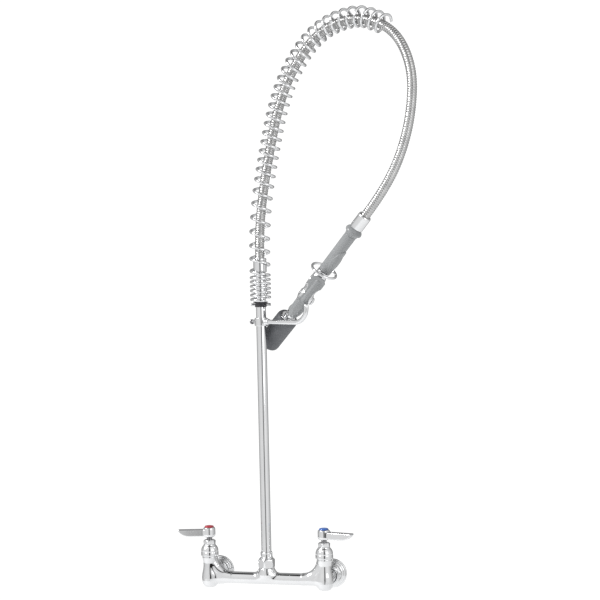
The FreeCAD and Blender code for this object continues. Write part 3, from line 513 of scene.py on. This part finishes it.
def inside_outline(u, v, outline):
    """Signed distance to a closed outline of (u, v) points."""
    corners = np.array(outline, float)
    best = np.full(len(u), np.inf)
    sign = np.ones(len(u))
    for number in range(len(corners)):
        a, b = corners[number], corners[number - 1]
        edge = b - a
        wu, wv = u - a[0], v - a[1]
        t = np.clip((wu * edge[0] + wv * edge[1]) / (edge @ edge), 0, 1)
        best = np.minimum(best, (wu - edge[0] * t) ** 2 + (wv - edge[1] * t) ** 2)
        one, two, three = v >= a[1], v < b[1], edge[0] * wv > edge[1] * wu
        sign = np.where((one & two & three) | (~one & ~two & ~three), -sign, sign)
    return sign * np.sqrt(best)


def spun(p, profile, centre=(0, 0)):
    """A solid of revolution about Z, from a closed (radius, height) outline.

    A radius of 0 is moved past the axis, so that the axis isn't a wall of the outline.
    """
    away = np.hypot(p[:, 0] - centre[0], p[:, 1] - centre[1])
    outline = [(-30.0 if radius == 0 else radius, height) for radius, height in profile]
    return inside_outline(away, p[:, 2], outline)


def slope_of(field, points, small=0.02):
    return np.stack([field(points + np.eye(3)[k] * small) - field(points - np.eye(3)[k] * small)
                     for k in range(3)], 1) / (2 * small)


def settled(field, points, step, rounds):
    """The points moved onto the field's zero, by at most a step in each round."""
    for _ in range(rounds):
        slope = slope_of(field, points)
        move = field(points) / np.maximum((slope ** 2).sum(1), 0.05)
        points = points - slope * np.clip(move, -step, step)[:, None]
    return points


def skin(field, low, high, step):
    """Points and faces of the surface where the field is zero."""
    spans = [np.arange(low[k] - 2 * step, high[k] + 3 * step, step) for k in range(3)]
    grid = np.stack(np.meshgrid(*spans, indexing="ij"), -1)
    shape = grid.shape[:3]
    value = field(grid.reshape(-1, 3)).reshape(shape)
    inside = value < 0
    total = np.zeros(np.array(shape) - 1, int)
    for i in (0, 1):
        for j in (0, 1):
            for k in (0, 1):
                total += inside[i:shape[0] - 1 + i, j:shape[1] - 1 + j, k:shape[2] - 1 + k]
    cells = np.argwhere((total > 0) & (total < 8))
    index = -np.ones(total.shape, int)
    index[tuple(cells.T)] = np.arange(len(cells))
    points = np.array([spans[k][0] for k in range(3)]) + (cells + 0.5) * step
    faces = []
    for k in range(3):
        before = [slice(None)] * 3
        after = [slice(None)] * 3
        before[k], after[k] = slice(None, -1), slice(1, None)
        first, second = inside[tuple(before)], inside[tuple(after)]
        spots = np.argwhere(first != second)
        out = first[tuple(spots.T)]
        u, v = (k + 1) % 3, (k + 2) % 3
        corners = []
        for du, dv in ((-1, -1), (0, -1), (0, 0), (-1, 0)):
            cell = spots.copy()
            cell[:, u] += du
            cell[:, v] += dv
            corners.append(index[tuple(cell.T)])
        quads = np.stack(corners, 1)
        quads[~out] = quads[~out][:, ::-1]
        faces.append(quads)
    faces = np.concatenate(faces)
    edges = np.concatenate([faces[:, [0, 1]], faces[:, [1, 2]], faces[:, [2, 3]],
                            faces[:, [3, 0]]])
    points = settled(field, points, step, 3)
    for _ in range(3):
        near = np.zeros_like(points)
        count = np.zeros(len(points))
        np.add.at(near, edges[:, 0], points[edges[:, 1]])
        np.add.at(near, edges[:, 1], points[edges[:, 0]])
        np.add.at(count, edges[:, 0], 1)
        np.add.at(count, edges[:, 1], 1)
        eased = points * 0.4 + near / count[:, None] * 0.6
        points = settled(field, eased, step, 2)
    return points, faces


def moulded(name, field, low, high, step, place, body, looks, replaces=()):
    points, faces = skin(field, low, high, step)
    return piece(name, points, faces, place, body, looks, replaces, sharp=180)


# ---------------------------------------------------------------------------------------
# Wall connections, mixing body, valves and handles

def mixing_body():
    tower_x = abs(JOINTS["hot_handle_turn"]["pos_m"][0]) / MM
    web_x, web_z, web_reach, web_radius = tower_x - 39, 36.5, 35.3, 9.4

    def field(p):
        q = p.copy()
        q[:, 0] = np.abs(q[:, 0])
        tower = spun(q, [(0, -18.0), (5, -17.8), (9.4, -16.4), (12.6, -12.4), (14.3, -6),
                         (14.5, 0), (13.5, 7), (12.1, 13), (11.4, 19), (11.4, 25),
                         (12.3, 30), (13.0, 34), (13.0, 36.9), (0, 36.9)], (tower_x, 0))
        arm = drum(q, (tower_x, 0, 0), (tower_x, 45, 0), 12.5, 0.5)
        bar = drum(q, (-1, 0, 0), (tower_x, 0, 0), 10.1, 0.5)
        boss = spun(q, [(0, -2), (9, -2), (13.0, 2), (15.0, 8), (14.4, 14), (13.0, 18.9),
                        (0, 18.9)])
        sweep = np.hypot(q[:, 0] - web_x, q[:, 2] - web_z) - web_reach
        web = np.hypot(sweep, q[:, 1]) - web_radius
        web = soft_max(web, np.maximum(q[:, 2] - 32, web_x - q[:, 0]), 2.0)
        body = joined(5.0, joined(3.0, tower, arm), bar)
        body = joined(2.4, body, web)
        return joined(9.0, body, boss)

    moulded("mixing_body_casting", field, (-118, -17, -19), (118, 46, 38), 1.0, ON_RISER,
            "faucet", CHROME, ["mixing_body"])


def wall_side(side):
    name = "hot" if side < 0 else "cold"
    mouth = Vector((JOINTS[f"{name}_handle_turn"]["pos_m"][0], 0, 0))
    place = facing(mouth, (0, -1, 0))
    turned(f"{name}_wall_flange_dish", [
        (17.4, 0.2), (24.6, 0.1), (25.4, 0.7), (25.4, 2.2), (24.4, 3.4), (22.6, 3.6),
        (22.2, 5.2), (21.0, 5.9), (20.0, 6.0), (19.7, 7.6), (18.8, 8.5), (18.0, 8.9),
        (17.4, 8.4), (17.4, 0.2)], place, "faucet", CHROME, [f"{name}_wall_flange"],
        0.4, 96)
    turned(f"{name}_inlet_coupling_nut", [
        (9.4, 0.4), (16.6, 0.4), (16.8, 8.6), (17.0, 10.2), (20.0, 10.6), (20.0, 25.6),
        (14.6, 25.9), (13.2, 25.2), (12.7, 23.0), (9.4, 13.0), (9.4, 0.4)],
        place, "faucet", CHROME, [f"{name}_inlet_coupling"], 0.5, 120,
        hexed(34.0, 26.0, 10.2, 1.1))


LEVER_FORWARD = 13


def tower_valve(side):
    name = "hot" if side < 0 else "cold"
    x, y, _ = JOINTS[f"{name}_handle_turn"]["pos_m"]
    place = Matrix.Translation((x, y, 0)) @ Matrix.Scale(MM, 4)
    turned(f"{name}_bonnet_dome", [
        (5.0, 36.6), (14.4, 37.0), (15.0, 37.6), (15.1, 40), (15.1, 43.0), (14.5, 44.0),
        (14.9, 46.0, 2), (14.2, 50.0, 3), (12.2, 53.4, 3), (10.4, 55.2, 1.5), (10.1, 56.9),
        (5.0, 57.0)], place, "faucet", CHROME, [f"{name}_bonnet"], 0.6, 96)
    turned(f"{name}_packing_nut_hex", [
        (5.0, 57.0), (10.4, 57.1), (10.4, 62.2), (9.4, 63.2), (8.6, 64.3), (5.0, 64.4)],
        place, "faucet", CHROME, [f"{name}_packing_nut"], 0.3, 120,
        hexed(19.2, 63.6, 56.9, 1.0))
    body = f"{name}_handle"
    turned(f"{name}_stem_top", [
        (0.0, 14.0), (7.5, 14.0), (7.5, 18.0), (4.55, 19.6), (4.55, 70.0), (0, 70.0)],
        place, body, CLAMP, [f"{name}_stem"], 0.3, 48)
    swing = -LEVER_FORWARD if side > 0 else 180 + LEVER_FORWARD
    lever_handle(name, place @ Matrix.Rotation(math.radians(swing), 4, "Z"), body)
    cap = RED if side < 0 else BLUE
    turned(f"{name}_index_button", [
        (0, 84.6), (5.0, 84.6), (5.2, 85.9), (7.9, 86.0), (8.0, 87.2), (7.2, 88.2, 1.0),
        (4.0, 88.9, 2.0), (1.2, 89.05), (0, 89.05)], place, body,
        cap, [f"{name}_index_cap"], 0.35, 72)


def lever_handle(name, place, body):
    half_width = 7.0

    def field(p):
        hub = spun(p, [(0, 69.0), (8.2, 69.0), (9.8, 70.4), (10.5, 73.5), (10.5, 82.5),
                       (9.8, 85.0), (8.6, 86.0), (0, 86.0)])
        t = np.clip((p[:, 0] - 34) / 20.0, 0, 1)
        top, bottom = 82.2, 70.4 + 8.6 * t ** 2.2
        middle, half = (top + bottom) / 2, (top - bottom) / 2
        end = p[:, 0] - (53.6 - 0.020 * p[:, 1] ** 2 - 0.10 * (p[:, 2] - 81.0) ** 2)
        upright = np.abs(p[:, 2] - middle) - half
        across = np.abs(p[:, 1]) - half_width
        paddle = soft_max(soft_max(upright, across, 1.8), end, 1.2)
        paddle = soft_max(paddle, -(p[:, 0] - 2.0), 1.0)
        ring = joined(2.2, hub, paddle)
        socket = drum(p, (0, 0, 84.4), (0, 0, 90), 5.4, 0.3)
        return soft_max(ring, -socket, 0.4)

    moulded(f"{name}_lever_blade", field, (-11, -11, 68), (56, 11, 87), 0.6, place, body,
            CHROME, [f"{name}_lever"])


mixing_body()
for side in (-1, 1):
    wall_side(side)
    tower_valve(side)


# ---------------------------------------------------------------------------------------
# Riser, finger hook, spring holder and the hose's lower fittings

def riser():
    turned("riser_nut_hex", [
        (8.9, 19.0), (13.2, 19.1), (13.9, 20.2), (13.9, 31.8), (12.6, 34.2), (8.9, 34.5),
        (8.9, 19.0)], ON_RISER, "faucet", CHROME, ["riser_nut"], 0.3, 144,
        hexed(26.0, 34.4, 19.0, 0.9))
    turned("riser_collar_sleeve", [
        (8.95, 34.5), (11.0, 34.6), (11.15, 36.0), (10.3, 36.8), (10.1, 38.2), (10.1, 43.4),
        (10.3, 44.4), (9.6, 45.8), (8.95, 46.0)], ON_RISER, "faucet", CHROME,
        ["riser_collar"], 0.35, 96)
    low, high = (corner.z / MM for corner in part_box("riser_pipe"))
    turned("riser_tube", [
        (6.2, low), (10.7, low + 0.1), (10.7, low + 2.5), (8.57, low + 2.7), (8.57, high - 0.6),
        (8.2, high), (6.2, high), (6.2, low)], ON_RISER, "riser", CHROME,
        ["riser_pipe"], 0.3, 96)


def finger_hook():
    heading = math.radians(-26)
    along = Vector((math.cos(heading), math.sin(heading), 0))
    across = Vector((-along.y, along.x, 0))
    low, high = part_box("hook_clamp")
    centre = (low.z + high.z) / 2
    place = axes_at((RISER_X, RISER_Y, centre), along, across, (0, 0, 1))

    def clamp(p):
        band = drum(p, (0, 0, -7), (0, 0, 7), 11.2, 1.2)
        socket = drum(p, (6, 0, 0), (17.6, 0, 0), 5.6, 1.0)
        boss = drum(p, (-14, 0, 0), (-6, 0, 0), 4.4, 0.6)
        hole = np.hypot(p[:, 0], p[:, 1]) - 8.92
        screw_hole = drum(p, (-16, 0, 0), (0, 0, 0), 2.35, 0.1)
        return soft_max(soft_max(joined(2.0, band, socket, boss), -hole, 0.3), -screw_hole, 0.2)

    moulded("hook_clamp_body", clamp, (-14.5, -12, -7.5), (18, 12, 7.5), 0.6, place,
            "finger_hook", CHROME, ["hook_clamp"])
    start, reach, bend, tip, radius = 12.5, 76.0, 24.5, 3.0, 4.0
    route = [(start + (reach - start) * t, 0, 0) for t in np.linspace(0, 1, 8)]
    route += [(reach + bend * math.sin(a), 0, bend - bend * math.cos(a))
              for a in np.linspace(0, math.pi / 2, 24)[1:]]
    route += [(reach + bend, 0, bend + tip * t) for t in np.linspace(0, 1, 3)[1:]]
    dome = np.linspace(0.2, 1.5, 9)
    cap = [(reach + bend, 0, bend + tip + radius * math.sin(a)) for a in dome]
    centres = np.array(route + cap, float)
    radii = np.full((len(centres), 32), radius)
    radii[len(route):] *= np.cos(dome)[:, None]
    ways = along_curve(centres)[1]
    points, faces = ring_tube(centres, ways, np.tile([0.0, 1.0, 0.0], (len(centres), 1)),
                              radii, 32)
    piece("hook_rod_bent", points, faces, place, "finger_hook", CHROME,
          ["hook_rod"], sharp=60)
    knob = facing((RISER_X, RISER_Y, centre), -along)
    turned("hook_thumb_knob", [
        (0, 9.3), (1.95, 9.3), (1.95, 14.6), (3.7, 15.0), (3.9, 15.6), (3.9, 17.0), (2.4, 17.7),
        (2.3, 19.2), (4.1, 19.7), (4.3, 20.6), (4.3, 22.2), (3.4, 23.3), (0, 23.4)],
        knob, "hook_screw", CLAMP, ["hook_thumb_screw"], 0.45, 48)


def spring_foot():
    low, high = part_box("spring_holder")
    low, high = low.z / MM, high.z / MM
    # The cup's near-black colour is painted shade, standing in for the dark reflection and shade
    # under the spring's end.
    turned("spring_holder_cup", [
        (8.7, low), (9.5, low + 0.1), (10.1, low + 0.9), (10.2, high - 1.9), (12.8, high - 1.4),
        (12.8, high - 0.5), (12.3, high), (8.7, high)], ON_RISER, "riser", PAINTED_SHADE_SLEEVE,
        ["spring_holder"], 0.3, 72)
    under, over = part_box("spring_holder_screws")
    middle = (under.z + over.z) / 2
    heading = math.radians(14)
    for number, sign in enumerate((1, -1)):
        way = Vector((math.cos(heading), math.sin(heading), 0)) * sign
        turned(f"spring_holder_screw_{number + 1}", [
            (0, 8.7), (1.9, 8.7), (1.9, 10.8), (2.5, 11.0), (2.5, 16.6), (1.9, 17.5),
            (1.1, 17.6), (1.0, 16.4), (0, 16.4)], facing((RISER_X, RISER_Y, middle), way),
            "riser", CHROME, ["spring_holder_screws"], 0.3, 40)


def lower_fittings():
    low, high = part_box("hose_nut")
    low, high = low.z / MM, high.z / MM
    turned("hose_nut_body", [
        (8.65, low), (9.8, low + 0.2), (11.3, low + 1.2), (11.3, low + 23.0), (9.6, low + 25.4),
        (9.4, high - 0.5), (9.0, high), (5.4, high), (5.4, high - 20), (8.65, high - 22),
        (8.65, low)], ON_RISER, "riser", CHROME, ["hose_nut"], 0.4, 96)
    low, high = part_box("lower_ferrule")
    low, high = low.z / MM, high.z / MM
    turned("lower_ferrule_sleeve", [
        (5.4, low), (10.6, low + 0.1), (11.4, low + 0.9), (11.4, high - 6.4), (10.7, high - 5.8),
        (10.7, high - 4.8), (11.2, high - 4.2), (11.2, high - 1.4), (10.0, high - 0.1),
        (8.2, high), (8.0, high - 1.0), (5.4, high - 1.2), (5.4, low)], ON_RISER, "riser",
        CHROME, ["lower_ferrule"], 0.4, 96)


riser()
finger_hook()
spring_foot()
lower_fittings()


# ---------------------------------------------------------------------------------------
# Spray valve

def handle():
    turned("valve_ferrule_sleeve", [
        (5.4, -27), (8.2, -27), (10.2, -26.9), (11.1, -25.6), (11.3, -24.0), (11.3, -1.4),
        (10.7, -0.2), (8.2, 0), (8.2, -12), (5.4, -12), (5.4, -27)],
        VALVE, "riser", CHROME, ["valve_ferrule"], 0.4, 96)
    turned("handle_collar_flare", [
        (6.6, 0.4), (9.9, 0.3), (10.5, 0.8), (13.9, 4.6, 1.0), (14.8, 6.8, 1.4),
        (14.6, 9.4, 1.4), (11.7, 11.4, 1.0), (11.0, 12.6), (11.0, 15.0), (6.6, 15.0)],
        VALVE, "riser", GREY, ["handle_collar"], 0.5, 96)

    sleeve_radius, swell_height = 10.3, 69.5
    leaf_heading, leaf_radius, leaf_half_width, leaf_half_length = -59, 12.0, 11.5, 25.6

    def grip(p):
        sleeve = drum(p, (0, 0, 15.1), (0, 0, 94.9), sleeve_radius, 1.4)
        pad = egg(p, (1.9, -3.2, swell_height), (10.6, 10.2, 24.6))
        pad = soft_max(pad, p[:, 2] - 94.0, 2.0)
        turn = np.arctan2(p[:, 1], p[:, 0]) - math.radians(leaf_heading)
        turn = (turn + math.pi) % (2 * math.pi) - math.pi
        along = (p[:, 2] - swell_height) / leaf_half_length
        half_width = leaf_half_width * np.sqrt(np.clip(1 - along ** 2, 0, 1))
        leaf = soft_max(np.hypot(p[:, 0], p[:, 1]) - leaf_radius,
                        np.abs(turn) * sleeve_radius - half_width, 0.5)
        sleeve = joined(0.3, sleeve, leaf)
        bore = np.hypot(p[:, 0], p[:, 1]) - 6.5
        return soft_max(joined(0.4, sleeve, pad), -bore, 0.3)

    moulded("handle_grip_moulding", grip, (-13, -18, 14), (14, 12, 96), 0.7, VALVE, "riser",
            GREY, ["handle_grip"])
    ring_place, ring_tilt, ring_radius, ring_wire = 95.5, 8, 21.7, 2.15
    tilt = (Matrix.Translation((0, 0, ring_place))
            @ Matrix.Rotation(math.radians(ring_tilt), 4, "X"))
    circle = [(ring_radius + ring_wire * math.cos(a), ring_wire * math.sin(a))
              for a in np.linspace(0, 2 * math.pi, 21)]
    points, faces = lathe(circle, 96)
    piece("hold_ring_wire", points, faces, VALVE @ tilt, "hold_ring", CHROME,
          ["hold_ring"], sharp=80)


def valve_body():
    neck_way = np.array([-math.sin(HEAD_TILT), 0, math.cos(HEAD_TILT)])
    neck_end = np.array(NECK_END)

    def field(p):
        main = spun(p, [(0, 95.6), (10.2, 95.6), (10.5, 97), (10.5, 105), (12.2, 109.6),
                        (12.3, 132), (10.9, 137), (10.9, 143), (12.4, 146), (12.4, 156),
                        (9.7, 164), (9.5, 190), (0, 190)])
        neck = drum(p, neck_end - neck_way * 24, neck_end, 8.7, 0.6)
        shoulder = egg(p, (-4.5, 0, 188.5), (10.0, 10.0, 10.0))
        guide = drum(p, (0, 0, 141), (12.3, 0, 141), 6.1, 0.7)
        boss = drum(p, (0, 0, SIDE_PORT), (0, -13.3, SIDE_PORT), 7.3, 0.7)
        other_boss = drum(p, (0, 0, 121), (-1.5, 12.2, 121), 6.0, 1.2)
        lug = slab(p, (9, 0, 181), (8.6, 4.4, 4.4), 1.2)
        body = joined(3.0, main, neck, shoulder)
        return joined(1.6, body, guide, boss, other_boss, lug)

    moulded("valve_body_casting", field, (-24, -14, 95), (19, 14, 209), 0.7, VALVE, "riser",
            CHROME, ["valve_body"])
    side = axes_at(VALVE @ Vector((0, 0, SIDE_PORT)), AHEAD, LIFT, -ACROSS)
    turned("side_cap_plug", [
        (0, 9.3), (5.0, 9.3), (5.0, 13.6), (6.8, 13.8), (7.0, 14.6), (6.4, 15.8, 0.6),
        (4.4, 17.0), (1.6, 17.7), (0, 17.75)], side, "riser", CHROME, ["side_cap"],
        0.4, 60)


def squeeze_lever():
    half = [(8.2, 99.8), (12.7, 105.0), (12.7, 117.6), (8.2, 125.6), (7.0, 134), (7.4, 146),
            (10.4, 155), (11.4, 166), (10.8, 177), (6.0, 189.4), (0, 191.4)]
    outline = half + [(-across, along) for across, along in half[-2::-1]]
    thickness = 2.5

    def field(p):
        z, y = p[:, 2], np.abs(p[:, 1])
        middle = np.interp(z, [100.3, 126.3, 148.3, 185, 191], [22.6, 21.0, 20.0, 20.0, 18.2])
        edge = inside_outline(p[:, 1], z, outline)
        plate = soft_max(np.abs(p[:, 0] - middle) - thickness / 2, edge, 0.5)
        ridge = rod(p, (20.9, 0, 108), (19.3, 0, 152), 4.6, 4.8)
        ridge = soft_max(ridge, -(p[:, 0] - middle + 1.2), 0.5)
        dome_height = 2.6 * np.clip(-edge / 6.0, 0, 1) ** 0.7
        arch = soft_max(-(z - 153.0 - 0.055 * y ** 2), edge, 0.6)
        dome = soft_max(soft_max(p[:, 0] - middle - thickness / 2 - dome_height,
                                 middle - 1.2 - p[:, 0], 0.5), arch, 0.8)
        both_sides = np.stack([p[:, 0], y, z], 1)
        cheek = slab(both_sides, (14.8, 7.1, 179.7), (4.4, 1.45, 7.4), 0.9)
        lever = joined(0.6, joined(0.4, plate, ridge), dome)
        hole = np.hypot(p[:, 0] - 15, z - 181) - 1.95
        return soft_max(joined(0.8, lever, cheek), -hole, 0.2)

    moulded("squeeze_lever_moulding", field, (9, -13, 99), (26, 13, 192), 0.55, VALVE,
            "squeeze_lever", GREY, ["squeeze_lever"])


def spray_head():
    turned("spray_bumper_sleeve", [
        (13.6, 3.3), (13.6, 0.8), (15.6, 0.7), (17.6, 2.2, 1.5), (18.9, 6.2, 2.0),
        (19.0, 68.0, 1.6), (18.2, 71.2, 0.8), (16.6, 71.4), (16.0, 70.4), (16.0, 64.5),
        (15.9, 63.5), (15.9, 3.3), (13.6, 3.3)], HEAD, "riser", BUMPER,
        ["spray_bumper"], 0.6, 96)
    turned("head_adapter_disc", [
        (4.6, 0.1), (12.0, 0.0), (13.3, 0.6), (13.4, 3.3), (15.3, 3.5), (15.3, 6.9), (4.6, 6.9),
        (4.6, 0.1)], HEAD, "riser", CHROME, ["head_adapter"], 0.4, 72)


handle()
valve_body()
squeeze_lever()
spray_head()

# ---------------------------------------------------------------------------------------
# CAD pieces whose shape is already right get their finish

DRESSED = {
    BRASS: ["hot_seat", "cold_seat"],
    BLACK: ["hot_inlet_washer", "cold_inlet_washer", "hot_bonnet_washer", "cold_bonnet_washer",
            "hot_seat_washer", "cold_seat_washer", "riser_washer", "hose_washer",
            "valve_washer", "plunger_seal"],
    SATIN: ["hot_screw", "cold_screw", "plunger", "plunger_spring", "lever_pin", "face_screw",
            "water_tube", "spray_face"],
    DARK: ["spray_nozzle"],
}
for looks, names in DRESSED.items():
    for name in names:
        frame["nodes"][name].data.materials.clear()
        frame["nodes"][name].data.materials.append(looks)

# ---------------------------------------------------------------------------------------
# Floor, studio and lights

FLOOR_HALF_SIZE, FLOOR_HEIGHT, FLOOR_GLOW = 3.0, -0.90, 0.36
# Brightness of the room's walls, by degrees from -Y towards +X.
WALLS = [
    (-180, 0.30), (-150, 0.34), (-128, 0.46), (-104, 0.52), (-78, 0.80), (-36, 0.90),
    (-8, 0.88), (7, 0.72), (9.8, 0.02), (19, 0.02), (22.5, 0.60), (34, 0.90), (62, 0.98),
    (92, 0.82), (118, 0.66), (140, 0.46), (158, 0.30), (180, 0.28),
]
# Brightness by the height of the direction, from straight down at -1 to straight up at 1.
TOPS = [
    (-1.0, 0.95), (-0.3, 0.9), (0.1, 0.92), (0.70, 1.0), (0.90, 0.95), (0.935, 0.05),
    (0.982, 0.05), (1.0, 0.9),
]
DIFFUSE_ROOM, ROOM_STRENGTH = (0.34, 0.345, 0.35, 1), 1.08
LAMP_AIM = Vector((0.07, -0.06, 0.45))
LAMPS = [("key", (-2.2, -1.6, 2.4), 1.1, 80), ("fill", (2.4, -1.8, 1.0), 1.4, 9)]


def floor():
    mesh = bpy.data.meshes.new("floor")
    size, low = FLOOR_HALF_SIZE, FLOOR_HEIGHT
    mesh.from_pydata([(-size, -size, low), (size, -size, low), (size, size, low),
                      (-size, size, low)], [], [(0, 1, 2, 3)])
    made = bpy.data.objects.new("floor", mesh)
    bpy.context.scene.collection.objects.link(made)
    pale = material("pale_floor", (0.95, 0.95, 0.95), (0.93, 0.93, 0.93), (0.6, 0.7), patch=3,
                    grain=60, bump=0.0001)
    shader = next(item for item in pale.node_tree.nodes if item.type == "BSDF_PRINCIPLED")
    shader.inputs["Emission Color"].default_value = (1, 1, 1, 1)
    shader.inputs["Emission Strength"].default_value = FLOOR_GLOW
    mesh.materials.append(pale)


def room():
    """Mirror reflections see the walls, diffuse light an even grey, the camera white."""
    world = bpy.data.worlds.new("studio")
    bpy.context.scene.world = world
    world.use_nodes = True
    tree = world.node_tree
    tree.nodes.clear()
    way = node(tree, "ShaderNodeTexCoord").outputs["Generated"]
    split = node(tree, "ShaderNodeSeparateXYZ", {"Vector": way})
    turn = node(tree, "ShaderNodeMath", operation="ARCTAN2")
    tree.links.new(split.outputs["X"], turn.inputs[0])
    flipped = node(tree, "ShaderNodeMath", {0: split.outputs["Y"], 1: -1.0},
                   operation="MULTIPLY")
    tree.links.new(flipped.outputs[0], turn.inputs[1])
    share = node(tree, "ShaderNodeMapRange", {"Value": turn.outputs[0], "From Min": -math.pi,
                                              "From Max": math.pi})
    walls = node(tree, "ShaderNodeValToRGB", {"Fac": share.outputs[0]})
    ramp(walls.color_ramp, WALLS, 360, 180)
    height = node(tree, "ShaderNodeMapRange", {"Value": split.outputs["Z"], "From Min": -1.0})
    tops = node(tree, "ShaderNodeValToRGB", {"Fac": height.outputs[0]})
    ramp(tops.color_ramp, TOPS, 2, 1)
    lit = node(tree, "ShaderNodeMix", {0: 1.0}, data_type="RGBA", blend_type="MULTIPLY")
    tree.links.new(walls.outputs[0], lit.inputs[6])
    tree.links.new(tops.outputs[0], lit.inputs[7])
    ray = node(tree, "ShaderNodeLightPath").outputs
    colour = mixed(tree, ray["Is Diffuse Ray"], lit.outputs[2], DIFFUSE_ROOM)
    colour = mixed(tree, ray["Is Camera Ray"], colour, (1.0, 1.0, 1.0, 1))
    background = node(tree, "ShaderNodeBackground", {"Color": colour, "Strength": ROOM_STRENGTH})
    output = node(tree, "ShaderNodeOutputWorld")
    tree.links.new(background.outputs[0], output.inputs[0])


def lamps():
    for name, spot, size, power in LAMPS:
        data = bpy.data.lights.new(name, "AREA")
        data.size, data.energy = size, power
        lamp = bpy.data.objects.new(name, data)
        lamp.location = spot
        lamp.rotation_euler = (LAMP_AIM - Vector(spot)).to_track_quat("-Z", "Y").to_euler()
        bpy.context.scene.collection.objects.link(lamp)


def ramp(target, stops, span, offset):
    """Grey stops of a colour ramp, whose places run over span, starting at -offset."""
    while len(target.elements) < len(stops):
        target.elements.new(1.0)
    for element, (place, value) in zip(target.elements, stops):
        element.position = (place + offset) / span
        element.color = (value, value, value, 1)


floor()
room()
lamps()
bpy.context.scene.view_settings.view_transform = "Standard"
